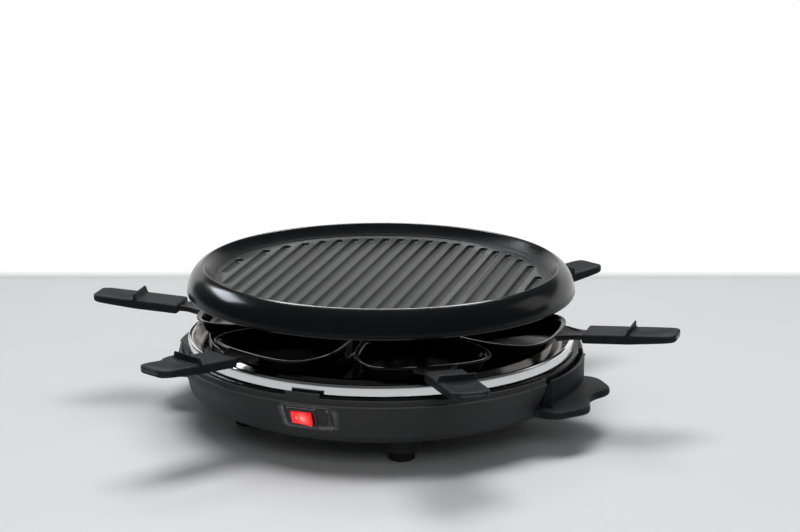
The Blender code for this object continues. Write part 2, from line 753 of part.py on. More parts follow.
def grip_reach(angle):
    """How far the flange reaches beyond the panel at an angle from the handle's middle."""
    share = abs(angle) / GRIP_HALF_ANGLE
    for low, high in zip(GRIP_SHARES, GRIP_SHARES[1:]):
        if share <= high[0]:
            part = (share - low[0]) / (high[0] - low[0])
            return GRIP_REACH * (low[1] + (high[1] - low[1]) * part)
    return GRIP_REACH * GRIP_SHARES[-1][1]


def grip_section(angle):
    """The carrying handle's section: an upright panel over a wide finger flange."""
    low = BASE_Z + GRIP_FLANGE_BOTTOM
    high = low + GRIP_FLANGE_THICKNESS
    outer = HOUSING_LEDGE_RADIUS + grip_reach(angle)
    in_panel = abs(angle) < GRIP_PANEL_HALF_ANGLE
    top = LEDGE_Z + GRIP_PANEL_RISE if in_panel else high + GRIP_EDGE
    back = wall_radius(high) + GAP
    foot = high + GAP * 2
    middle = (foot + LEDGE_Z) / 2 if in_panel else (foot + top) / 2
    upper = LEDGE_Z if in_panel else (middle + top) / 2
    sink = GRIP_PANEL_WALL if in_panel else -GAP
    face = HOUSING_LEDGE_RADIUS + GRIP_PANEL_PROUD if in_panel else back + LIP_EDGE
    shoulder = foot + (GRIP_SWEEP if in_panel else GRIP_EDGE / 4)
    return [
        (back, low),
        (outer - GRIP_EDGE, low),
        (outer, low + GRIP_EDGE),
        (outer, high - GRIP_EDGE),
        (outer - GRIP_EDGE, high),
        (min(face + GRIP_SWEEP, outer - GRIP_EDGE), high + GRIP_EDGE / 8),
        (min(face + GRIP_SWEEP / 4, outer - GRIP_EDGE * 2), high + GRIP_EDGE / 2),
        (face, shoulder),
        (face, upper),
        (face + (GRIP_PANEL_BLADE if in_panel else 0.0), top),
        (wall_radius(upper) - sink + LIP_EDGE / 2, top),
        (wall_radius(upper) - sink, upper),
        (wall_radius(middle) - sink, middle),
        (wall_radius(foot) - sink, foot),
        (back, foot if not in_panel else high + GAP),
    ]


def make_carry_handles(materials):
    """The two moulded grips that carry the base."""
    edge = GRIP_PANEL_HALF_ANGLE
    half = [share * GRIP_HALF_ANGLE for share, _ in GRIP_SHARES]
    half = [angle for angle in half if abs(angle - edge) > STEP_ANGLE]
    half += [edge - STEP_ANGLE / 2, edge + STEP_ANGLE / 2]
    angles = sorted({round(angle, 6) for angle in half + [-angle for angle in half]})
    for name, azimuth in (("carry_handle_right", 0.0), ("carry_handle_left", 180.0)):
        sections = [[polar(radius, angle, z) for radius, z in grip_section(angle)] for angle in angles]
        shape = bridge_sections(sections, True, False)
        bmesh.ops.remove_doubles(shape, verts=shape.verts, dist=GAP / 10)
        seat_at(finish_object(name, shape, materials["handle_plastic"]), azimuth)


# Switch


def switch_frame_empty():
    """An empty on the housing wall: its Y points inward and its Z up the sloping wall."""
    middle_z = BASE_Z + (PANEL_BOTTOM + PANEL_TOP) / 2
    low = wall_radius(BASE_Z + PANEL_BOTTOM)
    high = wall_radius(BASE_Z + PANEL_TOP)
    tilt = math.atan2(high - low, PANEL_TOP - PANEL_BOTTOM)
    empty = bpy.data.objects.new("switch_seat", None)
    bpy.context.scene.collection.objects.link(empty)
    empty.location = (0.0, -(low + high) / 2 - PANEL_PROUD, middle_z)
    empty.rotation_euler.x = tilt
    return empty


def seat_matrix(empty):
    """The matrix of an empty that has no parent."""
    return Matrix.Translation(empty.location) @ Matrix.Rotation(empty.rotation_euler.x, 4, "X")


def make_switch_panel(materials, seat):
    """The curved insert round the switch, with an upright groove on its right."""
    low = BASE_Z + PANEL_BOTTOM
    high = BASE_Z + PANEL_TOP
    sections = []
    for angle in panel_angles(-GAP / 2):
        section = []
        for z in (low, (low + high) / 2, high):
            section.append(polar(wall_radius(z) + PANEL_PROUD, angle, z))
        for z in (high, (low + high) / 2, low):
            section.append(polar(wall_radius(z) - PANEL_THICKNESS, angle, z))
        sections.append(section)
    shape = bridge_sections(sections, True, False)
    panel = finish_object("switch_panel", shape, materials["housing_plastic"])
    opening = box_shape((-BEZEL_WIDTH / 2 - GAP, -PANEL_THICKNESS, -BEZEL_HEIGHT / 2 - GAP),
                        (BEZEL_WIDTH / 2 + GAP, PANEL_THICKNESS * 2, BEZEL_HEIGHT / 2 + GAP))
    cut_with(panel, "bezel_opening", move_shape(opening, seat_matrix(seat)))
    reach = (PANEL_TOP - PANEL_BOTTOM) / 2 - GROOVE_END_MARGIN
    groove = box_shape((-GROOVE_WIDTH / 2, -PANEL_THICKNESS, -reach), (GROOVE_WIDTH / 2, GROOVE_DEPTH, reach))
    cut_with(panel, "panel_groove", move_shape(groove, spin_about_z(GROOVE_ANGLE) @ seat_matrix(seat)))
    return panel


def make_switch(materials, seat):
    """The switch: a body with a bezel, and a rocker that tips about an upright pin."""
    front = -BEZEL_PROUD
    back = front + BEZEL_THICKNESS
    end = back + SWITCH_BODY_DEPTH
    sections = [
        (front, BEZEL_WIDTH / 2 - BEZEL_PROUD / 2, BEZEL_HEIGHT / 2 - BEZEL_PROUD / 2),
        (front + BEZEL_PROUD, BEZEL_WIDTH / 2, BEZEL_HEIGHT / 2),
        (back, BEZEL_WIDTH / 2, BEZEL_HEIGHT / 2),
        (back, SWITCH_BODY_WIDTH / 2, SWITCH_BODY_HEIGHT / 2),
        (end, SWITCH_BODY_WIDTH / 2, SWITCH_BODY_HEIGHT / 2),
    ]
    rows = []
    for y, half_x, half_z in sections:
        rows.append([Vector((half_x, y, half_z)), Vector((-half_x, y, half_z)),
                     Vector((-half_x, y, -half_z)), Vector((half_x, y, -half_z))])
    body = finish_object("switch_body", bridge_sections(rows, True, False), materials["dark_ring"], False)
    body.parent = seat
    well = box_shape((-ROCKER_WELL_WIDTH / 2, front - CUT_OVERRUN, -ROCKER_WELL_HEIGHT / 2),
                     (ROCKER_WELL_WIDTH / 2, front + ROCKER_WELL_DEPTH, ROCKER_WELL_HEIGHT / 2))
    cut_with(body, "rocker_well", well)
    half = ROCKER_WIDTH / 2
    outline = [
        (-half, -ROCKER_PIVOT_DEPTH - ROCKER_EDGE_RISE),
        (-half / 2, -ROCKER_PIVOT_DEPTH - (ROCKER_EDGE_RISE + ROCKER_MIDDLE_RISE) / 2),
        (0.0, -ROCKER_PIVOT_DEPTH - ROCKER_MIDDLE_RISE),
        (half / 2, -ROCKER_PIVOT_DEPTH - (ROCKER_EDGE_RISE + ROCKER_MIDDLE_RISE) / 2),
        (half, -ROCKER_PIVOT_DEPTH - ROCKER_EDGE_RISE),
        (half - ROCKER_SKIRT / 2, -ROCKER_PIVOT_DEPTH + ROCKER_SKIRT),
        (0.0, ROCKER_SKIRT / 2),
        (-half + ROCKER_SKIRT / 2, -ROCKER_PIVOT_DEPTH + ROCKER_SKIRT),
    ]
    shape = extruded(outline, -ROCKER_HEIGHT / 2, ROCKER_HEIGHT / 2)
    rocker = finish_object("switch_rocker", shape, materials["red_lens"], False)
    rocker.parent = seat
    rocker.location = (0.0, front + ROCKER_PIVOT_DEPTH, 0.0)
    rocker.rotation_euler.z = math.radians(ROCKER_TILT)


# Electrical parts inside


def element_path():
    """The heating element's centre line: two legs up, along, and one nearly full ring."""
    spread = ELEMENT_LEG_SPREAD
    start = BLOCK_TOP_Z - BLOCK_INSERTION
    near = ELEMENT_LEG_DISTANCE
    open_angle = math.degrees(math.asin(spread / ELEMENT_RING_RADIUS))
    bend_angle = math.degrees(ELEMENT_BEND / ELEMENT_RING_RADIUS)
    meet = ELEMENT_RING_RADIUS * math.cos(math.radians(open_angle))
    leg = [Vector((near, spread, start)), Vector((near, spread, (start + ELEMENT_Z) / 2))]
    for step in range(FILLET_STEPS + 1):
        turn = math.radians(90.0 * step / FILLET_STEPS)
        leg.append(Vector((near + ELEMENT_BEND * (1 - math.cos(turn)), spread,
                           ELEMENT_Z - ELEMENT_BEND * (1 - math.sin(turn)))))
    corner = Vector((meet, spread, ELEMENT_Z))
    before = Vector((meet - ELEMENT_BEND, spread, ELEMENT_Z))
    after = polar(ELEMENT_RING_RADIUS, open_angle + bend_angle, ELEMENT_Z)
    for step in range(FILLET_STEPS + 1):
        share = step / FILLET_STEPS
        leg.append(before * (1 - share) ** 2 + corner * 2 * share * (1 - share) + after * share ** 2)
    far = 360.0 - open_angle - bend_angle
    first = open_angle + bend_angle
    ring = []
    for step in range(1, ELEMENT_RING_POINTS):
        ring.append(polar(ELEMENT_RING_RADIUS, first + (far - first) * step / ELEMENT_RING_POINTS, ELEMENT_Z))
    back = [Vector((point.x, -point.y, point.z)) for point in reversed(leg)]
    return leg + ring + back


def make_tube(name, points, radius, material):
    """A round tube along a list of points."""
    curve = bpy.data.curves.new(name, "CURVE")
    curve.dimensions = "3D"
    curve.bevel_depth = radius
    curve.bevel_resolution = 2
    curve.use_fill_caps = True
    spline = curve.splines.new("POLY")
    spline.points.add(len(points) - 1)
    for spot, point in zip(spline.points, points):
        spot.co = (*point, 1.0)
    curve.materials.append(material)
    made = bpy.data.objects.new(name, curve)
    bpy.context.scene.collection.objects.link(made)
    return made


def make_element(materials):
    """The tubular heating element under the grill plate."""
    tube = make_tube("heating_element", element_path(), ELEMENT_RADIUS, materials["element_steel"])
    seat_at(tube, ELEMENT_AZIMUTH)


def make_terminal_block(materials):
    """The ceramic block that takes the element's two ends."""
    outline = rounded_outline(BLOCK_WIDTH / 2, BLOCK_LENGTH / 2, BLOCK_EDGE, 2)
    outline = [(x + ELEMENT_LEG_DISTANCE, y) for x, y in outline]
    block = finish_object("terminal_block", extruded(outline, BLOCK_Z, BLOCK_TOP_Z), materials["ceramic"])
    seat_at(block, ELEMENT_AZIMUTH)
    for side, name in ((1, "socket_left"), (-1, "socket_right")):
        socket = cylinder_shape(ELEMENT_RADIUS + GAP, BLOCK_TOP_Z - BLOCK_INSERTION - GAP,
                                BLOCK_TOP_Z + CUT_OVERRUN)
        spot = Matrix.Translation((ELEMENT_LEG_DISTANCE, side * ELEMENT_LEG_SPREAD, 0.0))
        cut_with(block, name, move_shape(socket, spot))


def make_cutout(materials):
    """The thermal cut-out, clamped up against the reflector's plateau."""
    top = RIM_Z - REFLECTOR_SHEET - GAP
    step = CUTOUT_HEIGHT / 3
    profile = [
        (0.0, top),
        (CUTOUT_RADIUS - step / 2, top),
        (CUTOUT_RADIUS, top - step / 2),
        (CUTOUT_RADIUS, top - CUTOUT_HEIGHT + step),
        (CUTOUT_RADIUS - step, top - CUTOUT_HEIGHT),
        (0.0, top - CUTOUT_HEIGHT),
    ]
    cutout = finish_object("thermal_cutout", turned(profile, SMALL_ROUND_STEPS), materials["zinc_steel"])
    cutout.location = polar(CUTOUT_DISTANCE, ELEMENT_AZIMUTH + 180.0)


def lead_line(start, start_way, end, end_way):
    """A loose lead's centre line, which leaves each end squarely."""
    first = start + start_way * LEAD_STUB
    last = end + end_way * LEAD_STUB
    near = first + start_way * LEAD_REACH
    far = last + end_way * LEAD_REACH
    points = [start]
    count = 2 * FILLET_STEPS
    for step in range(count + 1):
        share = step / count
        rest = 1.0 - share
        points.append(first * rest ** 3 + near * 3 * rest ** 2 * share + far * 3 * rest * share ** 2
                      + last * share ** 3)
    points.append(end)
    return points


def make_leads(materials, seat):
    """Two sleeved leads: from the switch and from the gland to the terminal block."""
    block_way = spin_about_z(ELEMENT_AZIMUTH) @ Vector((1.0, 0.0, 0.0))
    block_middle = block_way * ELEMENT_LEG_DISTANCE + Vector((0.0, 0.0, BLOCK_Z + BLOCK_HEIGHT / 3))
    block_reach = block_way * (BLOCK_WIDTH / 2 + GAP)
    seated = seat_matrix(seat)
    inward = seated.to_3x3() @ Vector((0.0, 1.0, 0.0))
    switch_end = seated @ Vector((0.0, BEZEL_THICKNESS - BEZEL_PROUD + SWITCH_BODY_DEPTH + GAP, 0.0))
    gland = gland_place()
    gland_way = gland.to_3x3() @ Vector((0.0, 0.0, -1.0))
    gland_end = gland @ Vector((0.0, 0.0, -GLAND_INSIDE - GAP))
    ends = (
        ("switch_lead", switch_end, inward, block_middle + block_reach, block_way),
        ("inlet_lead", gland_end, gland_way, block_middle - block_reach, -block_way),
    )
    for name, start, start_way, end, end_way in ends:
        make_tube(name, lead_line(start, start_way, end, end_way), LEAD_RADIUS, materials["lead_sleeve"])


def gland_place():
    """The cord gland's axis, pointing out of the back of the housing."""
    z = BASE_Z + GLAND_HEIGHT
    spot = polar(wall_radius(z), GLAND_AZIMUTH, z)
    outward = spin_about_z(GLAND_AZIMUTH) @ Matrix.Rotation(math.radians(90.0), 4, "Y")
    return Matrix.Translation(spot) @ outward


def gland_outside():
    """How far the gland stands out, so that its collar clears the wall that leans over it."""
    z = BASE_Z + GLAND_HEIGHT
    lean = wall_radius(z + GLAND_COLLAR_RADIUS) - wall_radius(z)
    return lean + GLAND_STANDOFF + GLAND_COLLAR_LENGTH


def make_gland(materials):
    """The bush in the back wall that the mains cord would pass through."""
    outside = gland_outside()
    collar = outside - GLAND_COLLAR_LENGTH
    edge = GLAND_COLLAR_LENGTH / 4
    profile = [
        (GLAND_BORE_RADIUS, -GLAND_INSIDE),
        (GLAND_RADIUS, -GLAND_INSIDE),
        (GLAND_RADIUS, collar),
        (GLAND_COLLAR_RADIUS, collar),
        (GLAND_COLLAR_RADIUS, outside - edge),
        (GLAND_COLLAR_RADIUS - edge, outside),
        (GLAND_BORE_RADIUS, outside),
    ]
    gland = finish_object("cord_gland", turned(profile, SMALL_ROUND_STEPS, True), materials["rubber"])
    gland.matrix_world = gland_place()


# Reflector, ring and supports


def make_support_ring(materials):
    """The dark ring inside the lip, whose flange carries the reflector."""
    seat = LEDGE_Z + GAP
    outer = RING_OUTER_RADIUS
    inner = outer - RING_WALL
    edge = RING_WALL / 4
    under = RING_TOP_Z - RING_FLANGE_THICKNESS
    profile = [
        (inner, seat),
        (outer, seat),
        (outer, RING_TOP_Z - edge),
        (outer - edge, RING_TOP_Z),
        (RING_FLANGE_INNER_RADIUS, RING_TOP_Z),
        (RING_FLANGE_INNER_RADIUS, under),
        (inner, under),
    ]
    finish_object("support_ring", turned(profile, loop=True), materials["dark_ring"])


def support_azimuth(index):
    """Which way a support faces."""
    return SUPPORT_AZIMUTH + 360.0 * index / SUPPORT_COUNT


def rivet_place(index):
    """Where the rivet goes through a support's foot."""
    radius = SUPPORT_RADIUS - SUPPORT_SHEET - SUPPORT_FOOT / 2
    return Matrix.Translation(polar(radius, support_azimuth(index)))


def reflector_line():
    """The reflector's upper side, from the axis to the foot of its bright band."""
    shelf_z = REFLECTOR_GROOVE_Z + REFLECTOR_SHELF_RISE
    line = [
        (0.0, RIM_Z),
        (REFLECTOR_FLOOR_RADIUS, RIM_Z),
        (REFLECTOR_GROOVE_RADIUS, REFLECTOR_GROOVE_Z),
        (REFLECTOR_GROOVE_OUTER_RADIUS, REFLECTOR_GROOVE_Z),
        (REFLECTOR_SHELF_RADIUS, shelf_z),
    ]
    line += place_points((REFLECTOR_SHELF_RADIUS, shelf_z), (REFLECTOR_RIM_RADIUS, RIM_Z), BEAD_SHARES)
    line += place_points((REFLECTOR_RIM_RADIUS, RIM_Z),
                         (REFLECTOR_BAND_RADIUS, RIM_Z - REFLECTOR_BAND_HEIGHT), BAND_SHARES)
    return line


def make_reflector(materials):
    """The bright dish that the pans stand on."""
    upper = reflector_line()
    lower = offset_line(upper, REFLECTOR_SHEET)
    lower[0] = (0.0, RIM_Z - REFLECTOR_SHEET)
    lower[-1] = (lower[-1][0], RIM_Z - REFLECTOR_BAND_HEIGHT)
    reflector = finish_object("reflector", turned(upper + lower[::-1]), materials["mirror_steel"])
    low = RIM_Z - REFLECTOR_SHEET - CUT_OVERRUN
    high = RIM_Z + CUT_OVERRUN
    for index in range(SUPPORT_COUNT):
        hole = cylinder_shape(RIVET_SHANK_RADIUS + GAP, low, high)
        cut_with(reflector, f"rivet_hole_{index + 1}", move_shape(hole, rivet_place(index)))
    for side, name in ((1, "leg_hole_left"), (-1, "leg_hole_right")):
        hole = cylinder_shape(ELEMENT_RADIUS + LEG_HOLE_CLEARANCE, low, high)
        spot = Matrix.Translation((ELEMENT_LEG_DISTANCE, side * ELEMENT_LEG_SPREAD, 0.0))
        cut_with(reflector, name, move_shape(hole, spin_about_z(ELEMENT_AZIMUTH) @ spot))


def support_outline():
    """A support strip seen from the side: foot, upright, arm under the element, tip under the plate."""
    outside = SUPPORT_RADIUS
    inside = outside - SUPPORT_SHEET
    foot = inside - SUPPORT_FOOT
    arm_top = ELEMENT_Z - ELEMENT_RADIUS - GAP
    arm_low = arm_top - SUPPORT_SHEET
    top = SUPPORT_Z + SUPPORT_HEIGHT
    return [
        (foot, SUPPORT_Z),
        (outside, SUPPORT_Z),
        (outside, arm_low),
        (SUPPORT_REACH, arm_low),
        (SUPPORT_REACH, top),
        (SUPPORT_REACH - SUPPORT_SHEET, top),
        (SUPPORT_REACH - SUPPORT_SHEET, arm_top),
        (inside, arm_top),
        (inside, SUPPORT_Z + SUPPORT_SHEET),
        (foot, SUPPORT_Z + SUPPORT_SHEET),
    ]


def make_supports(materials):
    """The bent strips that hold up the grill plate and the element, each with its rivet."""
    half = SUPPORT_WIDTH / 2
    top = SUPPORT_Z + SUPPORT_SHEET + GAP
    low = RIM_Z - REFLECTOR_SHEET - GAP
    profile = [
        (0.0, top + RIVET_HEAD_HEIGHT),
        (RIVET_HEAD_RADIUS / 2, top + RIVET_HEAD_HEIGHT),
        (RIVET_HEAD_RADIUS, top),
        (RIVET_SHANK_RADIUS, top),
        (RIVET_SHANK_RADIUS, low),
        (RIVET_TAIL_RADIUS, low),
        (RIVET_TAIL_RADIUS / 2, low - RIVET_HEAD_HEIGHT),
        (0.0, low - RIVET_HEAD_HEIGHT),
    ]
    for index in range(SUPPORT_COUNT):
        sections = [[Vector((radius, y, z)) for radius, z in support_outline()] for y in (-half, half)]
        shape = bridge_sections(sections, True, False)
        strip = finish_object(f"plate_support_{index + 1}", shape, materials["black_steel"], False)
        seat_at(strip, support_azimuth(index))
        hole = cylinder_shape(RIVET_SHANK_RADIUS + GAP, SUPPORT_Z - CUT_OVERRUN,
                              SUPPORT_Z + SUPPORT_SHEET + CUT_OVERRUN)
        spot = Matrix.Translation((SUPPORT_RADIUS - SUPPORT_SHEET - SUPPORT_FOOT / 2, 0.0, 0.0))
        cut_with(strip, f"foot_hole_{index + 1}", move_shape(hole, spot))
        rivet = finish_object(f"support_rivet_{index + 1}", turned(profile, SMALL_ROUND_STEPS),
                              materials["zinc_steel"])
        rivet.location = rivet_place(index).to_translation()


# Grill plate


def plate_profile():
    """The plate's section: cooking floor, rounded crest, flared skirt and hollow underside."""
    skirt_z = SEAT_Z - PLATE_SKIRT_DROP
    step_z = GRILL_FLOOR_Z + PLATE_STEP_HEIGHT
    crest = (PLATE_CREST_RADIUS, CREST_Z)
    skirt = (PLATE_OUTER_RADIUS, skirt_z)
    top = [(0.0, GRILL_FLOOR_Z), (PLATE_FLOOR_RADIUS, GRILL_FLOOR_Z)]
    wall = place_points((PLATE_FLOOR_RADIUS, step_z), crest,
                        ((0.06, 0.0), (0.45, 0.42), (0.74, 0.82), (0.88, 0.96)))
    rim = place_points(crest, skirt, RIM_SHARES)
    inner_top = CREST_Z - PLATE_RIM_WALL
    under = [
        (PLATE_OUTER_RADIUS - PLATE_SKIRT_WALL, skirt_z),
        (PLATE_OUTER_RADIUS - PLATE_SKIRT_WALL * 2, inner_top - PLATE_RIM_WALL),
        (PLATE_CREST_RADIUS + PLATE_RIM_WALL / 2, inner_top),
        (PLATE_CREST_RADIUS, inner_top),
        (PLATE_FLOOR_RADIUS + PLATE_RIM_WALL, SEAT_Z),
        (LOCATING_RING_RADIUS + LOCATING_RING_WIDTH, SEAT_Z),
        (LOCATING_RING_RADIUS + LOCATING_RING_WIDTH * 3 / 4, SEAT_Z - LOCATING_RING_DROP),
        (LOCATING_RING_RADIUS, SEAT_Z - LOCATING_RING_DROP),
        (LOCATING_RING_RADIUS, SEAT_Z),
        (0.0, SEAT_Z),
    ]
    return top + wall + rim + under


def groove_cutter(offset):
    """One groove between two ribs: a long trough with rounded ends and sloping sides."""
    half = math.sqrt(RIB_FIELD_RADIUS ** 2 - offset ** 2)
    floor_z = GRILL_FLOOR_Z - RIB_HEIGHT
    top_z = GRILL_FLOOR_Z + RIB_HEIGHT
    grow = (GROOVE_TOP_WIDTH - GROOVE_FLOOR_WIDTH) / 2
    sections = []
    for z, radius in ((floor_z, GROOVE_FLOOR_WIDTH / 2), (top_z, GROOVE_FLOOR_WIDTH / 2 + grow * 2)):
        row = []
        for side, start in ((1, -90.0), (-1, 90.0)):
            centre = side * (half - GROOVE_TOP_WIDTH / 2)
            for step in range(FILLET_STEPS):
                reach = polar(radius, start + 180.0 * step / (FILLET_STEPS - 1))
                row.append(Vector((centre + reach.x, offset + reach.y, z)))
        sections.append(row)
    return bridge_sections(sections, True, False)


def make_grill_plate(materials):
    """The lift-off grill plate with its ribbed floor."""
    plate = finish_object("grill_plate", turned(plate_profile()), materials["plate_coating"])
    count = int((RIB_FIELD_RADIUS - GROOVE_TOP_WIDTH) / RIB_PITCH)
    for index in range(-count, count + 1):
        groove = move_shape(groove_cutter(index * RIB_PITCH), spin_about_z(RIB_AZIMUTH))
        cut_with(plate, f"rib_groove_{index + count + 1}", groove)


# Pans


def pan_half_width():
    """Half of a pan's widest width, which leaves room for its nearest neighbour."""
    following = PAN_AZIMUTHS[1:] + (PAN_AZIMUTHS[0] + 360.0,)
    spacing = min(after - before for before, after in zip(PAN_AZIMUTHS, following))
    widest = next(along for along, across in PAN_OUTLINE_SHARES if across == 1.0)
    radius = PAN_INNER_END + (PAN_OUTER_END - PAN_INNER_END) * widest
    return radius * math.tan(math.radians(spacing / 2)) - PAN_SIDE_SPACE


def pan_outline(inset):
    """The pan's outline moved inward; X runs out along the pan, Y across it."""
    length = PAN_OUTER_END - PAN_INNER_END
    half_width = pan_half_width()
    half = [(PAN_INNER_END + length * along, half_width * across) for along, across in PAN_OUTLINE_SHARES]
    points = half + [(x, -y) for x, y in reversed(half)]
    size = len(points)
    moved = []
    for index, point in enumerate(points):
        before = Vector(points[index - 1])
        after = Vector(points[(index + 1) % size])
        way = (after - before).normalized()
        moved.append((point[0] + way[1] * inset, point[1] - way[0] * inset))
    return moved


def make_pan(name, material):
    """One stamped pan: flat floor, tapered wall and a narrow rim."""
    layers = [
        (PAN_TAPER + PAN_FLANGE, PAN_Z),
        (PAN_FLANGE + PAN_SHEET / 2, PAN_RIM_Z - PAN_SHEET),
        (0.0, PAN_RIM_Z - PAN_SHEET),
        (0.0, PAN_RIM_Z),
        (PAN_FLANGE + PAN_SHEET, PAN_RIM_Z),
        (PAN_TAPER + PAN_FLANGE + PAN_SHEET, PAN_Z + PAN_SHEET),
    ]
    sections = [[Vector((x, y, z)) for x, y in pan_outline(inset)] for inset, z in layers]
    return finish_object(name, bridge_sections(sections, True, False), material)


def channel_section(along, half_width, leg, top):
    """The shank's folded section: a flat top with two legs turned down."""
    sheet = SHANK_SHEET
    inner = half_width - sheet
    points = [
        (-half_width, top - leg),
        (-half_width, top - sheet / 3),
        (-inner, top),
        (inner, top),
        (half_width, top - sheet / 3),
        (half_width, top - leg),
        (inner, top - leg),
        (inner, top - sheet),
        (-inner, top - sheet),
        (-inner, top - leg),
    ]
    return [Vector((along, y, z)) for y, z in points]


def make_shank(name, material):
    """The folded shank between a pan and its handle, with a tongue inside the handle."""
    top = PAN_RIM_Z + SHANK_RISE
    start = PAN_OUTER_END + GAP
    neck = HANDLE_ROOT - GAP
    short_leg = SHANK_SHEET * 1.25
    sections = [
        channel_section(start, SHANK_ROOT_HALF_WIDTH, SHANK_LEG, top),
        channel_section(start + SHANK_ROOT_OVERLAP, SHANK_ROOT_HALF_WIDTH, SHANK_LEG, top),
        channel_section((start + neck) / 2, (SHANK_ROOT_HALF_WIDTH + SHANK_HALF_WIDTH) / 2, SHANK_LEG, top),
        channel_section(neck - SHANK_SHEET, SHANK_HALF_WIDTH, SHANK_LEG, top),
        channel_section(neck, TONGUE_HALF_WIDTH, short_leg, top),
        channel_section(neck + TONGUE_LENGTH, TONGUE_HALF_WIDTH, short_leg, top),
    ]
    return finish_object(name, bridge_sections(sections, True, False), material)


def handle_section(share, width_share, fin_share, scoop_share):
    """The handle's rounded section at a share of its length."""
    along = HANDLE_ROOT + HANDLE_LENGTH * share
    half = HANDLE_HALF_WIDTH * width_share
    top = PAN_RIM_Z + HANDLE_ABOVE_PAN + HANDLE_RISE * share
    thickness = HANDLE_THICKNESS + (TIP_THICKNESS - HANDLE_THICKNESS) * max(share - 0.5, 0.0) * 2
    bottom = top - thickness
    top += FIN_HEIGHT * fin_share - SCOOP_DEPTH * scoop_share
    edge = HANDLE_EDGE
    points = [
        (-half + edge, bottom),
        (half - edge, bottom),
        (half, bottom + edge),
        (half, top - edge / 2),
        (half - edge / 2, top),
        (-half + edge / 2, top),
        (-half, top - edge / 2),
        (-half, bottom + edge),
    ]
    return [Vector((along, y, z)) for y, z in points]


def make_pan_handle(name, material):
    """One moulded pan handle with its thumb stop, slotted for the shank's tongue."""
    sections = [handle_section(*row) for row in HANDLE_SHARES]
    handle = finish_object(name, bridge_sections(sections, True, False), material)
    top = PAN_RIM_Z + SHANK_RISE
    slot = box_shape((HANDLE_ROOT - CUT_OVERRUN, -TONGUE_HALF_WIDTH - GAP, top - SHANK_SHEET * 1.25 - GAP),
                     (HANDLE_ROOT + TONGUE_LENGTH + GAP, TONGUE_HALF_WIDTH + GAP, top + GAP))
    cut_with(handle, f"{name}_slot", slot)
    return handle


def make_pans(materials):
    """The six pans, each on an empty at the grill's axis that its slide follows."""
    for index, azimuth in enumerate(PAN_AZIMUTHS):
        guide = bpy.data.objects.new(f"pan_guide_{index + 1}", None)
        bpy.context.scene.collection.objects.link(guide)
        guide.rotation_euler.z = math.radians(azimuth)
        pieces = (
            make_pan(f"pan_{index + 1}", materials["pan_enamel"]),
            make_shank(f"pan_shank_{index + 1}", materials["pan_enamel"]),
            make_pan_handle(f"pan_handle_{index + 1}", materials["handle_plastic"]),
        )
        for piece in pieces:
            piece.parent = guide


def main():
    """Clear the scene and build every piece."""
    for old in list(bpy.data.objects):
        bpy.data.objects.remove(old, do_unlink=True)
    materials = make_materials()
    make_housing(materials)
    make_base_plate(materials)
    make_feet(materials)
    make_base_screws(materials)
    make_carry_handles(materials)
    seat = switch_frame_empty()
    make_switch_panel(materials, seat)
    make_switch(materials, seat)
    make_gland(materials)
    make_support_ring(materials)
    make_reflector(materials)
    make_supports(materials)
    make_element(materials)
    make_terminal_block(materials)
    make_cutout(materials)
    make_leads(materials, seat)
    make_grill_plate(materials)
    make_pans(materials)


main()
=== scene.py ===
import json
import math

import bmesh
import bpy
from mathutils import Matrix, Vector


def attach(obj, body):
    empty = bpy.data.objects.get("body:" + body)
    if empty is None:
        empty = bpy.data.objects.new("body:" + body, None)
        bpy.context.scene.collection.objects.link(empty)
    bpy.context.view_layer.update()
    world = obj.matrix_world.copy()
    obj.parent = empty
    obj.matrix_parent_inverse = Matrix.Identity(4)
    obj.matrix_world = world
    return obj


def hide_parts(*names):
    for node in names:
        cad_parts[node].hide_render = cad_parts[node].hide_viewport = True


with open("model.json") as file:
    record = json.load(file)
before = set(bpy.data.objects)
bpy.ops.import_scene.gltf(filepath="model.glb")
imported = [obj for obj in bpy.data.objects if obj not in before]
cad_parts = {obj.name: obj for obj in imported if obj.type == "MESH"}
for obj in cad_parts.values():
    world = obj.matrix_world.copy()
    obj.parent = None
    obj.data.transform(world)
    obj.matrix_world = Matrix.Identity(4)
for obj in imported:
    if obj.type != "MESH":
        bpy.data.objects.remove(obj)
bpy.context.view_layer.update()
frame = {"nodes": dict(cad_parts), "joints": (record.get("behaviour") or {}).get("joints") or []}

# Sizes, in metres, as in the part's own source
BASE_Z = 0.0185
LEDGE_Z = 0.0557
LIP_Z = 0.0601
RING_TOP_Z = 0.0611
RIM_Z = 0.0701
PAN_Z = 0.0704
PAN_RIM_Z = 0.0811
GRILL_FLOOR_Z = 0.1156

# Sides of the turned pieces: the large ones, and the small ones
ROUND_STEPS = 288
SMALL_STEPS = 40
# Points closer than this are joined
SAME_POINT = 0.000002

# Bowl of the housing: radius and height of its outer side
BOWL_LINE = (
    (0.1225, 0.0185), (0.12949, 0.02051), (0.1363, 0.0230), (0.14252, 0.02601), (0.1464, 0.02828),
    (0.14869, 0.03081), (0.14979, 0.0345), (0.15099, 0.03952), (0.15399, 0.04499), (0.15639, 0.05001),
    (0.1578, 0.0557),
)
HOUSING_WALL = 0.0025
LIP_RADIUS = 0.1563
LIP_WALL = 0.0022
LIP_ROUND = 0.0008
TAB_MIDDLE = 270.0
TAB_HALF_ANGLE = 5.0
TAB_RISE = 0.0036
NOTCH_DEPTH = 0.0125
LEDGE_UNDERCUT = 0.0019
COVER_OPENING = 0.1178
COVER_SEAT = 0.0030
GRIP_RECESS_ANGLE = 16.8
GRIP_RECESS_DEPTH = 0.0034
GRIP_RECESS_Z = 0.0363
SIDE_STEP_ANGLE = 24.4
SIDE_STEP_DEPTH = 0.0006
SIDE_STEP_Z = 0.0300
WINDOW_LEFT = 263.89
WINDOW_RIGHT = 278.71
WINDOW_LOW = 0.0356
WINDOW_HIGH = 0.0532
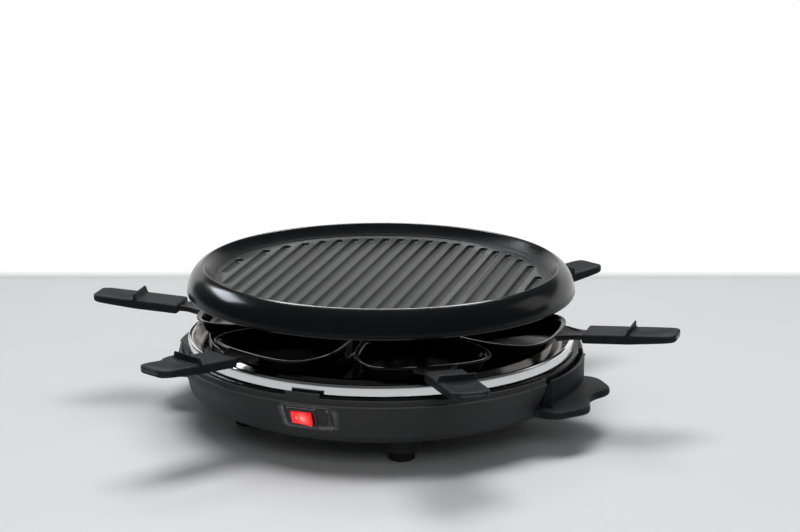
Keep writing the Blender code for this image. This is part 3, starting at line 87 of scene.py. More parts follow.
FIT_GAP = 0.0003
GLAND_RISE = 0.0220

# Equal pieces round the upright axis: radius of their circle, azimuth of the first one
FOOT_CIRCLE = 0.1045
FOOT_AZIMUTH = -60.0
SCREW_CIRCLE = 0.11275
SCREW_AZIMUTH = -15.0
RIVET_CIRCLE = 0.0370
RIVET_AZIMUTH = 96.0
VENT_CIRCLE = 0.062
VENT_COUNT = 12

# Ridges on the dish, between two pans
RIDGE_START = 0.066
RIDGE_LENGTH = 0.046
RIDGE_HALF_WIDTH = 0.0026
RIDGE_HEIGHT = 0.0034
RIDGE_SINK = 0.0002

# The grill plate's section over its rim: radius and height, from the cooking floor out
PLATE_TOP_LINE = (
    (0.1280, 0.1156), (0.1283, 0.1157), (0.1286, 0.1162), (0.1289, 0.1166), (0.1294, 0.1168),
    (0.1326, 0.1202), (0.1358, 0.1236), (0.1366, 0.1243), (0.1371, 0.1246), (0.1376, 0.1247),
    (0.1381, 0.1246), (0.13860, 0.12440), (0.13966, 0.12388), (0.14113, 0.12294), (0.14262, 0.12172),
    (0.14404, 0.12028), (0.14535, 0.11864), (0.14651, 0.11683), (0.14752, 0.11486),
    (0.14835, 0.11274), (0.14900, 0.11049), (0.14946, 0.10810), (0.14970, 0.10560), (0.1498, 0.1051),
    (0.1496, 0.1041),
)
# The plate's section back in under the rim, round the collar that sits on the supports
PLATE_UNDER_LINE = (
    (0.1480, 0.1041), (0.1476, 0.1044), (0.1466, 0.1100), (0.1452, 0.1158), (0.1430, 0.1196),
    (0.1415, 0.1201), (0.1400, 0.1199), (0.1360, 0.1152), (0.1325, 0.1107), (0.1315, 0.1101),
    (0.1252, 0.1101), (0.1247, 0.1075), (0.1244, 0.1073), (0.1235, 0.1073), (0.1232, 0.1075),
    (0.1232, 0.1101),
)
# Radii between which the plate's coating turns from dull to satin, and the dish's steel from a painted dark
# shade to its own bright colour
COOKING_FLOOR_EDGE = (0.1285, 0.1345)
DISH_SHADE_EDGE = (0.1436, 0.1470)
RIB_PITCH = 0.0120
RIB_FIELD_RADIUS = 0.1225
RIB_AZIMUTH = 97.6
RIB_ENDS_INSET = 0.0042
RIB_SIDES_INSET = 0.0018
# A groove between two ribs: half width and height below the cooking floor
GROOVE_LINE = (
    (0.0006, -0.0026), (0.0013, -0.0025), (0.0020, -0.0022), (0.0026, -0.0016), (0.0030, -0.0009),
    (0.0033, -0.0003), (0.0037, 0.0), (0.0038, 0.0012),
)

PAN_INNER_END = 0.0500
PAN_OUTER_END = 0.1430
PAN_HALF_WIDTH = 0.0505
# Half a pan's outline: share of its length, share of its half width
PAN_OUTLINE = (
    (0.000, 0.22), (0.022, 0.44), (0.095, 0.61), (0.226, 0.745), (0.390, 0.885), (0.560, 0.985),
    (0.710, 1.00), (0.850, 0.935), (0.935, 0.77), (0.980, 0.52), (1.000, 0.20),
)
# A pan's section from under its floor, round its rim and down inside: inset and height
PAN_SECTION = (
    (0.0100, 0.0), (0.0086, 0.0), (0.0078, 0.0002), (0.0072, 0.0008), (0.0064, 0.0024), (0.0048, 0.0058),
    (0.0034, 0.0088), (0.0030, 0.0093), (0.0022, 0.0096), (0.0006, 0.0096), (0.0001, 0.0099),
    (0.0, 0.0103), (0.0002, 0.0108), (0.0007, 0.0111), (0.0014, 0.0110), (0.0020, 0.0107),
    (0.0032, 0.0107), (0.0037, 0.0104), (0.0044, 0.0094), (0.0058, 0.0064), (0.0074, 0.0030),
    (0.0081, 0.0017), (0.0090, 0.0012), (0.0104, 0.0011),
)

HANDLE_ROOT = 0.1620
HANDLE_LENGTH = 0.0715
HANDLE_HALF_WIDTH = 0.0147
HANDLE_THICKNESS = 0.0073
HANDLE_TIP_THICKNESS = 0.0054
HANDLE_ABOVE_PAN = 0.0028
HANDLE_RISE = 0.0038
FIN_RISE = 0.0052
FIN_LEAN = -0.0012
HOLLOW_DEPTH = 0.0022
HOLLOW_SHARE = 0.84
HANDLE_LOW_ROUND = 0.0019
HANDLE_TOP_ROUND = 0.0013
HANDLE_END_SHARE = 0.02
HANDLE_END_DROP = 0.0011
# Along a handle: share of its length, share of its half width, fin, thumb hollow
HANDLE_ROWS = (
    (0.000, 0.90, 0.0, 0.0), (0.006, 0.955, 0.0, 0.0), (0.018, 0.985, 0.0, 0.0), (0.040, 1.00, 0.0, 0.0),
    (0.150, 1.00, 0.0, 0.0), (0.300, 1.00, 0.0, 0.0), (0.420, 1.00, 0.0, 0.0), (0.458, 1.00, 0.0, 0.0),
    (0.466, 1.00, 0.06, 0.0), (0.471, 1.00, 0.40, 0.0), (0.476, 1.00, 0.86, 0.0), (0.480, 0.995, 0.97, 0.0),
    (0.485, 0.99, 1.00, 0.0), (0.490, 0.995, 0.97, 0.0), (0.495, 1.00, 0.86, 0.0), (0.502, 1.00, 0.48, 0.02),
    (0.510, 1.00, 0.13, 0.12), (0.522, 1.00, 0.0, 0.35), (0.550, 1.00, 0.0, 0.70), (0.600, 1.00, 0.0, 0.95),
    (0.660, 1.00, 0.0, 1.00), (0.740, 1.00, 0.0, 0.92), (0.820, 0.995, 0.0, 0.72), (0.880, 0.985, 0.0, 0.45),
    (0.920, 0.955, 0.0, 0.22), (0.950, 0.90, 0.0, 0.06), (0.972, 0.81, 0.0, 0.0), (0.988, 0.69, 0.0, 0.0),
    (0.997, 0.56, 0.0, 0.0), (1.000, 0.48, 0.0, 0.0),
)

SHANK_START = 0.1426
SHANK_END = 0.1850
SHANK_ROOT_HALF_WIDTH = 0.0165
SHANK_TONGUE_START = 0.1619
SHANK_TONGUE_HALF_WIDTH = 0.0060
SHANK_TONGUE_LEG = 0.0016
SHANK_LEG = 0.0038
SHANK_SHEET = 0.0012
SHANK_RISE = 0.0006

GRIP_HALF_ANGLE = 18.6
GRIP_PANEL_ANGLE = 15.0
GRIP_FACE_RADIUS = 0.1581
GRIP_LOW_Z = 0.0305
GRIP_HIGH_Z = 0.0363
GRIP_TOP_Z = 0.0575
GRIP_REACH = 0.0224
GRIP_WALL = 0.0018
GRIP_EDGE = 0.0020
GRIP_SWEEP = 0.0042
GRIP_PANEL_RISE = 0.0042
# The finger flange: share of the handle's half angle, share of its reach
GRIP_SHARES = (
    (0.00, 0.60), (0.086, 0.62), (0.183, 0.69), (0.32, 0.87), (0.41, 0.96), (0.46, 0.98), (0.516, 0.965),
    (0.58, 0.92), (0.68, 0.80), (0.775, 0.69), (0.84, 0.62), (0.90, 0.53), (0.95, 0.40), (0.985, 0.24),
    (1.00, 0.08),
)

SWITCH_TILT = math.radians(22.33)
SWITCH_SEAT = Vector((0.0, -0.154013, 0.044400))
BEZEL_HALF_WIDTH = 0.0109
BEZEL_HALF_HEIGHT = 0.0076
WELL_HALF_WIDTH = 0.0090
WELL_HALF_HEIGHT = 0.0055
ROCKER_HALF_WIDTH = 0.0081
ROCKER_HALF_HEIGHT = 0.0052
ROCKER_TILT = math.radians(-7.0)
ROCKER_PIN_DEPTH = 0.0027
ROCKER_REACH = 0.0040
ROCKER_DISH = 0.0014
MARK_HEIGHT = 0.0001

ELEMENT_RADIUS = 0.0034
ELEMENT_RING_RADIUS = 0.1040
ELEMENT_Z = 0.1051
ELEMENT_AZIMUTH = 276.0
ELEMENT_LEG_SPREAD = 0.0130
ELEMENT_LEG_DISTANCE = 0.0240
ELEMENT_BEND = 0.0120
ELEMENT_START_Z = 0.0483
ELEMENT_HOLE_RADIUS = 0.0046


# Camera

CAMERA_AZIMUTH = math.radians(21.6)
CAMERA_ELEVATION = math.radians(13.9)
CAMERA_DISTANCE = 2.0
CAMERA_TARGET = Vector((0.0, 0.0, 0.124))
PICTURE_WIDTH = 800.0
FOCAL_PIXELS = 2589.0
SHIFT_RIGHT_PIXELS = 19.0
SHIFT_UP_PIXELS = -2.3
SENSOR_WIDTH = 36.0
SCREEN_BEHIND = 0.447


def stage_point(right, behind, up):
    """A point of the studio: to the camera's right, away from the camera, and up."""
    turn = Matrix.Rotation(CAMERA_AZIMUTH, 4, "Z")
    return turn @ Vector((right, behind, up))


def add_object(name, data):
    """A new object in the scene."""
    made = bpy.data.objects.new(name, data)
    bpy.context.scene.collection.objects.link(made)
    return made


def make_camera():
    """The camera, at the photograph's viewing angle."""
    data = bpy.data.cameras.new("camera")
    camera = add_object("camera", data)
    back = Vector((
        math.sin(CAMERA_AZIMUTH) * math.cos(CAMERA_ELEVATION),
        -math.cos(CAMERA_AZIMUTH) * math.cos(CAMERA_ELEVATION),
        math.sin(CAMERA_ELEVATION),
    ))
    camera.location = CAMERA_TARGET + back * CAMERA_DISTANCE
    camera.rotation_euler = back.to_track_quat("Z", "Y").to_euler()
    data.sensor_width = SENSOR_WIDTH
    data.lens = FOCAL_PIXELS / PICTURE_WIDTH * SENSOR_WIDTH
    data.shift_x = SHIFT_RIGHT_PIXELS / PICTURE_WIDTH
    data.shift_y = SHIFT_UP_PIXELS / PICTURE_WIDTH
    data.clip_start = 0.05
    data.clip_end = 60.0
    bpy.context.scene.camera = camera


make_camera()


# Shared node groups


def start_group(name, inputs, outputs):
    """An empty shader node group with float inputs: the group, what it is given and what it gives."""
    group = bpy.data.node_groups.new(name, "ShaderNodeTree")
    for label, value in inputs:
        socket = group.interface.new_socket(label, in_out="INPUT", socket_type="NodeSocketFloat")
        socket.default_value = value
    for label in outputs:
        group.interface.new_socket(label, in_out="OUTPUT", socket_type="NodeSocketFloat")
    given = group.nodes.new("NodeGroupInput").outputs
    result = group.nodes.new("NodeGroupOutput").inputs
    return group, given, result


def feed(tree, target, value):
    """Links a socket, or writes a plain number, into a socket."""
    if isinstance(value, bpy.types.NodeSocket):
        tree.links.new(value, target)
    else:
        target.default_value = value


def calculate(tree, operation, first, second=0.0, clamp=False):
    """A Math node's result."""
    node = tree.nodes.new("ShaderNodeMath")
    node.operation = operation
    node.use_clamp = clamp
    feed(tree, node.inputs[0], first)
    feed(tree, node.inputs[1], second)
    return node.outputs[0]


def times(tree, first, second, clamp=False):
    """Two values multiplied."""
    return calculate(tree, "MULTIPLY", first, second, clamp)


def plus(tree, first, second, clamp=False):
    """Two values added."""
    return calculate(tree, "ADD", first, second, clamp)


def remap(tree, value, low, high, to_low=0.0, to_high=1.0):
    """A value's range stretched to another one, and clamped."""
    node = tree.nodes.new("ShaderNodeMapRange")
    node.clamp = True
    for target, number in zip(node.inputs, (value, low, high, to_low, to_high)):
        feed(tree, target, number)
    return node.outputs["Result"]


def noise(tree, vector, scale, detail=3.0, roughness=0.5, distortion=0.0):
    """A noise texture's value."""
    node = tree.nodes.new("ShaderNodeTexNoise")
    tree.links.new(vector, node.inputs["Vector"])
    feed(tree, node.inputs["Scale"], scale)
    node.inputs["Detail"].default_value = detail
    node.inputs["Roughness"].default_value = roughness
    node.inputs["Distortion"].default_value = distortion
    return node.outputs["Fac"]


def place_of(tree, output="Object"):
    """Texture coordinates."""
    return tree.nodes.new("ShaderNodeTexCoord").outputs[output]


def split_place(tree, output="Object"):
    """X, Y and Z of a texture coordinate."""
    split = tree.nodes.new("ShaderNodeSeparateXYZ")
    tree.links.new(place_of(tree, output), split.inputs[0])
    return split.outputs


def from_axis(tree, place):
    """Distance from the grill's upright axis."""
    squares = [times(tree, place[axis], place[axis]) for axis in "XY"]
    return calculate(tree, "SQRT", plus(tree, *squares))


def weighted_sum(tree, first, first_share, second, second_share):
    """Two values added, each with its own weight."""
    return plus(tree, times(tree, first, first_share), times(tree, second, second_share))


def make_moulded_grain():
    """The fine spark-eroded grain of moulded plastic, with a slow mottle over it."""
    inputs = (("Grains per metre", 2600.0), ("Mottle per metre", 60.0))
    group, given, result = start_group("moulded_grain", inputs, ("Height", "Mottle"))
    where = place_of(group)
    fine = noise(group, where, given["Grains per metre"], 2.0, 0.6)
    coarse_scale = times(group, given["Grains per metre"], 0.37)
    coarse = noise(group, where, coarse_scale, 2.0, 0.5)
    feed(group, result["Height"], weighted_sum(group, fine, 0.65, coarse, 0.35))
    mottle = noise(group, where, given["Mottle per metre"], 4.0, 0.6, 0.4)
    feed(group, result["Mottle"], mottle)
    return group


def make_rubbed_edges():
    """Where hands and cloths rub: convex edges, broken up by noise."""
    inputs = (("Start", 0.53), ("Full", 0.62), ("Break up", 0.6))
    group, given, result = start_group("rubbed_edges", inputs, ("Mask",))
    geometry = group.nodes.new("ShaderNodeNewGeometry")
    edge = remap(group, geometry.outputs["Pointiness"], given["Start"], given["Full"])
    patches = remap(group, noise(group, place_of(group), 340.0, 4.0, 0.65), 0.35, 0.65)
    kept = calculate(group, "SUBTRACT", 1.0, times(group, given["Break up"], patches))
    feed(group, result["Mask"], times(group, edge, kept, True))
    return group


def make_settled_dust():
    """Fine dust on faces that look up."""
    inputs = (("Amount", 0.3), ("Specks per metre", 900.0))
    group, given, result = start_group("settled_dust", inputs, ("Mask",))
    upward = remap(group, split_place(group, "Normal")["Z"], 0.35, 1.0)
    where = place_of(group)
    film = remap(group, noise(group, where, 42.0, 4.0, 0.6, 0.5), 0.3, 0.75, 0.35, 1.0)
    specks = remap(group, noise(group, where, given["Specks per metre"], 2.0, 0.7), 0.60, 0.74)
    shown = times(group, upward, weighted_sum(group, film, 0.6, specks, 0.7))
    feed(group, result["Mask"], times(group, shown, given["Amount"], True))
    return group


def make_wipe_marks():
    """Faint smears that a cloth and fingers leave on a smooth surface."""
    inputs = (("Size per metre", 18.0), ("Sharpness", 0.5))
    group, given, result = start_group("wipe_marks", inputs, ("Mask",))
    stretch = group.nodes.new("ShaderNodeMapping")
    stretch.inputs["Rotation"].default_value = (0.2, 0.1, 0.7)
    stretch.inputs["Scale"].default_value = (1.0, 3.2, 1.0)
    group.links.new(place_of(group), stretch.inputs["Vector"])
    smear = noise(group, stretch.outputs["Vector"], given["Size per metre"], 6.0, 0.62, 1.2)
    low = times(group, given["Sharpness"], 0.9)
    high = plus(group, low, 0.28)
    feed(group, result["Mask"], remap(group, smear, low, high))
    return group


def make_turned_lines():
    """The fine concentric lines of sheet that was spun or brushed round the grill's axis."""
    group, given, result = start_group("turned_lines", (("Lines per metre", 1500.0),), ("Height", "Tone"))
    place = split_place(group)
    angle = calculate(group, "ARCTAN2", place["Y"], place["X"])
    along = group.nodes.new("ShaderNodeCombineXYZ")
    across = plus(group, from_axis(group, place), place["Z"])
    group.links.new(times(group, across, given["Lines per metre"]), along.inputs["X"])
    group.links.new(times(group, angle, 1.6), along.inputs["Y"])
    lines = noise(group, along.outputs[0], 1.0, 3.0, 0.6)
    feed(group, result["Height"], lines)
    feed(group, result["Tone"], remap(group, lines, 0.3, 0.7))
    return group


def make_heat_stain():
    """The straw and blue-brown bloom that heat leaves on steel, in soft patches."""
    inputs = (("Patches per metre", 35.0), ("Amount", 0.7))
    group, given, result = start_group("heat_stain", inputs, ("Mask", "Scale"))
    where = place_of(group)
    patches = noise(group, where, given["Patches per metre"], 5.0, 0.6, 0.8)
    bloom = remap(group, patches, 0.38, 0.68)
    feed(group, result["Mask"], times(group, bloom, given["Amount"], True))
    feed(group, result["Scale"], noise(group, where, 1700.0, 3.0, 0.7))
    return group


grain_group = make_moulded_grain()
edge_group = make_rubbed_edges()
dust_group = make_settled_dust()
wipe_group = make_wipe_marks()
turned_group = make_turned_lines()
stain_group = make_heat_stain()


# Materials


def start_material(name, colour, roughness, metallic=0.0, specular=0.5, coat=0.0):
    """A Principled material whose constants stand on the shader's own sockets."""
    material = bpy.data.materials.new(name)
    material.use_nodes = True
    material.diffuse_color = (*colour, 1.0)
    shader = material.node_tree.nodes["Principled BSDF"]
    shader.inputs["Base Color"].default_value = (*colour, 1.0)
    shader.inputs["Roughness"].default_value = roughness
    shader.inputs["Metallic"].default_value = metallic
    shader.inputs["Specular IOR Level"].default_value = specular
    shader.inputs["Coat Weight"].default_value = coat
    return material, material.node_tree, shader


def use_group(tree, group, **values):
    """What a node group gives when it is placed in a material with its own values."""
    node = tree.nodes.new("ShaderNodeGroup")
    node.node_tree = group
    for label, value in values.items():
        node.inputs[label.replace("_", " ")].default_value = value
    return node.outputs


def blend_colour(tree, base, *layers):
    """A colour with others laid over it, each by its own mask."""
    for mask, colour in layers:
        node = tree.nodes.new("ShaderNodeMix")
        node.data_type = "RGBA"
        feed(tree, node.inputs["Factor"], mask)
        for target, value in ((node.inputs[6], base), (node.inputs[7], colour)):
            feed(tree, target, (*value, 1.0) if isinstance(value, tuple) else value)
        base = node.outputs[2]
    return base


def link_surface(tree, shader, colour, roughness, height, depth):
    """Feeds the shader the colour and roughness that change over the surface, and its relief as a bump."""
    tree.links.new(colour, shader.inputs["Base Color"])
    tree.links.new(roughness, shader.inputs["Roughness"])
    bump = tree.nodes.new("ShaderNodeBump")
    bump.inputs["Distance"].default_value = depth
    tree.links.new(height, bump.inputs["Height"])
    tree.links.new(bump.outputs["Normal"], shader.inputs["Normal"])


def make_moulded_plastic(name, colour, worn, roughness, grains, depth, specular, dust):
    """Black moulded plastic with grain, rubbed edges and a little dust."""
    material, tree, shader = start_material(name, colour, roughness, 0.0, specular)
    grain = use_group(tree, grain_group, Grains_per_metre=grains)
    edges = use_group(tree, edge_group)
    dusty = use_group(tree, dust_group, Amount=dust)
    lighter = tuple(channel * 1.22 for channel in colour)
    base = blend_colour(tree, colour, (grain["Mottle"], lighter), (edges["Mask"], worn),
                        (dusty["Mask"], (0.16, 0.155, 0.15)))
    rough = remap(tree, grain["Mottle"], 0.3, 0.7, roughness - 0.05, roughness + 0.06)
    rough = calculate(tree, "SUBTRACT", rough, times(tree, edges["Mask"], 0.12))
    shader.inputs["Coat Roughness"].default_value = 0.16
    tree.links.new(times(tree, edges["Mask"], 0.8), shader.inputs["Coat Weight"])
    link_surface(tree, shader, base, rough, grain["Height"], depth)
    return material


def make_gloss_black(name, colour, roughness, coat, specular=0.5, warm=0.0):
    """Smooth black enamel, with wipe marks that dull it in places."""
    material, tree, shader = start_material(name, colour, roughness, 0.0, specular, coat)
    shader.inputs["Coat Roughness"].default_value = 0.06
    wipes = use_group(tree, wipe_group)
    edges = use_group(tree, edge_group, Start=0.54, Full=0.66)
    grain = use_group(tree, grain_group, Grains_per_metre=700.0, Mottle_per_metre=45.0)
    browned = tuple(channel + warm * share for channel, share in zip(colour, (1.0, 0.62, 0.4)))
    base = blend_colour(tree, colour, (grain["Mottle"], browned), (edges["Mask"], (0.055, 0.054, 0.053)))
    rough = remap(tree, wipes["Mask"], 0.0, 1.0, roughness, roughness + 0.12)
    link_surface(tree, shader, base, rough, grain["Height"], 0.00004)
    return material


def make_plate_coating():
    """The grill plate's non-stick coating: speckled, blue-black, satin on the rim and duller on the floor."""
    colour = (0.0042, 0.0046, 0.0052)
    material, tree, shader = start_material("plate_coating", colour, 0.16, 0.0, 0.22)
    grain = use_group(tree, grain_group, Grains_per_metre=1500.0, Mottle_per_metre=30.0)
    edges = use_group(tree, edge_group, Start=0.525, Full=0.60)
    wipes = use_group(tree, wipe_group, Size_per_metre=11.0)
    specks = remap(tree, noise(tree, place_of(tree), 2900.0, 2.0, 0.75), 0.66, 0.72)
    base = blend_colour(tree, colour, (grain["Mottle"], (0.0062, 0.0066, 0.0072)),
                        (times(tree, specks, 0.5), (0.030, 0.031, 0.033)),
                        (times(tree, edges["Mask"], 0.5), (0.034, 0.034, 0.035)))
    rough = remap(tree, wipes["Mask"], 0.0, 1.0, 0.17, 0.22)
    duller = remap(tree, from_axis(tree, split_place(tree)), *COOKING_FLOOR_EDGE, 0.23, 0.0)
    rough = plus(tree, rough, duller)
    shader.inputs["Coat Roughness"].default_value = 0.08
    tree.links.new(edges["Mask"], shader.inputs["Coat Weight"])
    link_surface(tree, shader, base, rough, grain["Height"], 0.000022)
    return material


def make_mirror_steel():
    """The reflector's sheet: bright at its rim and painted dark inside, standing in for the shade under the
    plate and pans and the dark underside it reflects, with heat stain in the dark part, turned lines and wipe
    marks.
    """
    colour = (0.80, 0.80, 0.79)
    material, tree, shader = start_material("mirror_steel", colour, 0.10, 1.0)
    lines = use_group(tree, turned_group, Lines_per_metre=2200.0)
    wipes = use_group(tree, wipe_group, Size_per_metre=22.0)
    stain = use_group(tree, stain_group, Amount=0.35)
    # Painted shade and painted dark reflection: the colour darkens inward of the rim, where the dish lies
    # under the plate and pans
    inner = remap(tree, from_axis(tree, split_place(tree)), *DISH_SHADE_EDGE, 1.0, 0.0)
    base = blend_colour(tree, colour, (inner, (0.075, 0.073, 0.071)),
                        (times(tree, stain["Mask"], inner), (0.105, 0.080, 0.060)),
                        (times(tree, lines["Tone"], 0.10), (0.58, 0.58, 0.58)))
    rough = remap(tree, wipes["Mask"], 0.0, 1.0, 0.085, 0.19)
    rough = plus(tree, rough, times(tree, lines["Tone"], 0.03))
    link_surface(tree, shader, base, rough, lines["Height"], 0.000012)
    return material


def make_worn_steel(name, colour, roughness, metallic, stained, stain_amount, depth):
    """Steel with oxide scale, heat bloom and bright rubbed edges."""
    material, tree, shader = start_material(name, colour, roughness, metallic)
    stain = use_group(tree, stain_group, Amount=stain_amount)
    edges = use_group(tree, edge_group)
    bright = tuple(min(channel * 2.4 + 0.05, 0.8) for channel in colour)
    rubbed = times(tree, edges["Mask"], 0.6)
    base = blend_colour(tree, colour, (stain["Mask"], stained), (rubbed, bright))
    rough = remap(tree, stain["Scale"], 0.35, 0.65, roughness - 0.06, roughness + 0.08)
    link_surface(tree, shader, base, rough, stain["Scale"], depth)
    return material


def make_matte(name, colour, mottled, roughness, specular, grains, mottle, film, rough_range, depth):
    """A matte body, mottled and grained, under a thin film of dust or heat stain."""
    material, tree, shader = start_material(name, colour, roughness, 0.0, specular)
    grain = use_group(tree, grain_group, Grains_per_metre=grains, Mottle_per_metre=mottle)
    film_group, amount, film_colour = film
    film_mask = use_group(tree, film_group, Amount=amount)["Mask"]
    base = blend_colour(tree, colour, (grain["Mottle"], mottled), (film_mask, film_colour))
    rough = remap(tree, grain["Mottle"], 0.3, 0.7, *rough_range)
    link_surface(tree, shader, base, rough, grain["Height"], depth)
    return material


def make_lead_sleeve():
    """Braided glass-fibre sleeving: a fine diagonal weave."""
    colour = (0.60, 0.57, 0.50)
    material, tree, shader = start_material("lead_sleeve", colour, 0.7)
    waves = []
    for turn in (0.8, -0.8):
        mapping = tree.nodes.new("ShaderNodeMapping")
        mapping.inputs["Rotation"].default_value = (turn, turn, turn)
        tree.links.new(place_of(tree), mapping.inputs["Vector"])
        wave = tree.nodes.new("ShaderNodeTexWave")
        wave.inputs["Scale"].default_value = 260.0
        wave.inputs["Distortion"].default_value = 0.6
        tree.links.new(mapping.outputs["Vector"], wave.inputs["Vector"])
        waves.append(wave.outputs["Fac"])
    weave = times(tree, waves[0], waves[1])
    stain = use_group(tree, stain_group, Amount=0.4)
    base = blend_colour(tree, (0.40, 0.37, 0.31), (weave, colour), (stain["Mask"], (0.33, 0.27, 0.20)))
    link_surface(tree, shader, base, remap(tree, weave, 0.0, 1.0, 0.82, 0.62), weave, 0.0003)
    return material


def make_red_lens():
    """The lit red rocker: brightest over the lamp behind its middle, deeper red at its ends."""
    material, tree, shader = start_material("red_lens", (0.34, 0.008, 0.010), 0.22, 0.0, 0.4)
    where = tree.nodes.new("ShaderNodeMapping")
    where.inputs["Location"].default_value = tuple(-x for x in SWITCH_SEAT + Vector((0.0008, 0.0, 0.0002)))
    tree.links.new(place_of(tree), where.inputs["Vector"])
    length = tree.nodes.new("ShaderNodeVectorMath")
    length.operation = "LENGTH"
    tree.links.new(where.outputs["Vector"], length.inputs[0])
    lamp = remap(tree, length.outputs["Value"], 0.0008, 0.0066, 1.0, 0.0)
    ribs = noise(tree, place_of(tree), 480.0, 2.0, 0.5)
    lamp = times(tree, lamp, remap(tree, ribs, 0.3, 0.7, 0.86, 1.0))
    glow = blend_colour(tree, (0.90, 0.020, 0.030), (lamp, (1.0, 0.22, 0.17)))
    tree.links.new(glow, shader.inputs["Emission Color"])
    shader.inputs["Emission Strength"].default_value = 0.85
    ribbed = remap(tree, ribs, 0.3, 0.7)
    shade = blend_colour(tree, (0.30, 0.006, 0.009), (ribbed, (0.38, 0.012, 0.014)))
    link_surface(tree, shader, shade, remap(tree, ribs, 0.3, 0.7, 0.18, 0.27), ribs, 0.00003)
    return material


def make_mark_paint():
    """The pale print of the switch's marks, lit from behind."""
    material, tree, shader = start_material("mark_paint", (0.90, 0.62, 0.58), 0.4)
    grain = use_group(tree, grain_group, Grains_per_metre=5200.0)
    shade = blend_colour(tree, (0.92, 0.66, 0.62), (grain["Mottle"], (0.80, 0.48, 0.44)))
    glow = blend_colour(tree, (1.0, 0.52, 0.46), (grain["Mottle"], (1.0, 0.40, 0.36)))
    tree.links.new(glow, shader.inputs["Emission Color"])
    shader.inputs["Emission Strength"].default_value = 0.45
    rough = remap(tree, grain["Height"], 0.3, 0.7, 0.32, 0.48)
    link_surface(tree, shader, shade, rough, grain["Height"], 0.00002)
    return material


HOUSING_BLACK = make_moulded_plastic("housing_plastic", (0.0335, 0.0338, 0.0345), (0.200, 0.200, 0.204),
                                     0.50, 2600.0, 0.00007, 0.12, 0.25)
HANDLE_BLACK = make_moulded_plastic("handle_plastic", (0.0150, 0.0157, 0.0178), (0.042, 0.044, 0.048),
                                    0.46, 2200.0, 0.00008, 0.04, 0.10)
RING_BLACK = make_gloss_black("dark_ring", (0.0045, 0.0045, 0.0048), 0.24, 0.0, 0.22)
SWITCH_BLACK = make_gloss_black("switch_black", (0.0140, 0.0140, 0.0145), 0.30, 0.1)
PAN_BLACK = make_gloss_black("pan_enamel", (0.0048, 0.0046, 0.0046), 0.12, 0.0, 0.24, 0.003)
SHANK_BLACK = make_gloss_black("shank_enamel", (0.0058, 0.0056, 0.0056), 0.34, 0.0, 0.08, 0.003)
PLATE_BLACK = make_plate_coating()
MIRROR_STEEL = make_mirror_steel()
BLACK_STEEL = make_worn_steel("black_steel", (0.055, 0.054, 0.053), 0.38, 0.9,
                              (0.085, 0.060, 0.045), 0.6, 0.00004)
ELEMENT_STEEL = make_worn_steel("element_steel", (0.16, 0.150, 0.140), 0.46, 1.0,
                                (0.105, 0.070, 0.052), 0.9, 0.00009)
ZINC_STEEL = make_worn_steel("zinc_steel", (0.56, 0.56, 0.55), 0.30, 1.0,
                             (0.46, 0.43, 0.36), 0.5, 0.00003)
RUBBER = make_matte("rubber", (0.016, 0.016, 0.016), (0.026, 0.025, 0.025), 0.82, 0.3, 1800.0, 60.0,
                    (dust_group, 0.5, (0.14, 0.135, 0.13)), (0.76, 0.88), 0.00008)
CERAMIC = make_matte("ceramic", (0.74, 0.70, 0.62), (0.66, 0.62, 0.54), 0.5, 0.5, 1400.0, 90.0,
                     (stain_group, 0.35, (0.48, 0.41, 0.32)), (0.42, 0.60), 0.00006)
LEAD_SLEEVE = make_lead_sleeve()
RED_LENS = make_red_lens()
MARK_PAINT = make_mark_paint()


# Mesh helpers


def polar(radius, degrees, z=0.0):
    """A point at a radius and an azimuth."""
    angle = math.radians(degrees)
    return Vector((radius * math.cos(angle), radius * math.sin(angle), z))


def smooth_line(points, pieces, closed=False):
    """A flowing line through points, with so many pieces between each two."""
    points = [Vector(point) for point in points]
    size = len(points)
    made = []
    spans = size if closed else size - 1
    for index in range(spans):
        if closed:
            before, here = points[index - 1], points[index]
            following, after = points[(index + 1) % size], points[(index + 2) % size]
        else:
            before, here = points[max(index - 1, 0)], points[index]
            following, after = points[index + 1], points[min(index + 2, size - 1)]
        for step in range(pieces):
            t = step / pieces
            made.append(((here * 2) + (following - before) * t
                         + (before * 2 - here * 5 + following * 4 - after) * t ** 2
                         + (here * 3 - before - following * 3 + after) * t ** 3) * 0.5)
    if not closed:
        made.append(points[-1])
    return made


def arc(x, y, radius, first, last, pieces):
    """Points round a corner about (x, y), from one angle to another."""
    points = []
    for step in range(pieces + 1):
        reach = polar(radius, first + (last - first) * step / pieces)
        points.append((x + reach.x, y + reach.y))
    return points


def rounded_rectangle(half_width, half_height, radius, steps=6):
    """Points round a rectangle with rounded corners, about its middle."""
    points = []
    for side_x, side_y, start in ((1, 1, 0.0), (-1, 1, 90.0), (-1, -1, 180.0), (1, -1, 270.0)):
        points += arc(side_x * (half_width - radius), side_y * (half_height - radius), radius,
                      start, start + 90.0, steps)
    return points


def skin(sections, loop=True, around=False):
    """A mesh over sections of equal length; loop closes each section, around joins the last to the first."""
    shape = bmesh.new()
    rows = [[shape.verts.new(point) for point in section] for section in sections]
    pairs = list(zip(rows, rows[1:]))
    if around:
        pairs.append((rows[-1], rows[0]))
    size = len(rows[0])
    span = size if loop else size - 1
    for row, following in pairs:
        for index in range(span):
            step = (index + 1) % size
            shape.faces.new((row[index], row[step], following[step], following[index]))
    if not around:
        shape.faces.new(rows[0])
        shape.faces.new(rows[-1])
    return shape


def prism(outline, ends, upright=True):
    """A closed outline carried between two heights, or between two depths along Y."""
    if upright:
        return skin([[(x, y, end) for x, y in outline] for end in ends])
    return skin([[(x, end, z) for x, z in outline] for end in ends])


def lathe(profile, steps=ROUND_STEPS, capped=False):
    """A (radius, height) line turned about Z; capped closes its two ends with flat discs."""
    sections = [[polar(radius, 360.0 * step / steps, z) for radius, z in profile] for step in range(steps)]
    shape = skin(sections, not capped, True)
    if capped:
        size = len(profile)
        shape.verts.ensure_lookup_table()
        for offset in (0, size - 1):
            shape.faces.new([shape.verts[step * size + offset] for step in range(steps)])
    return shape


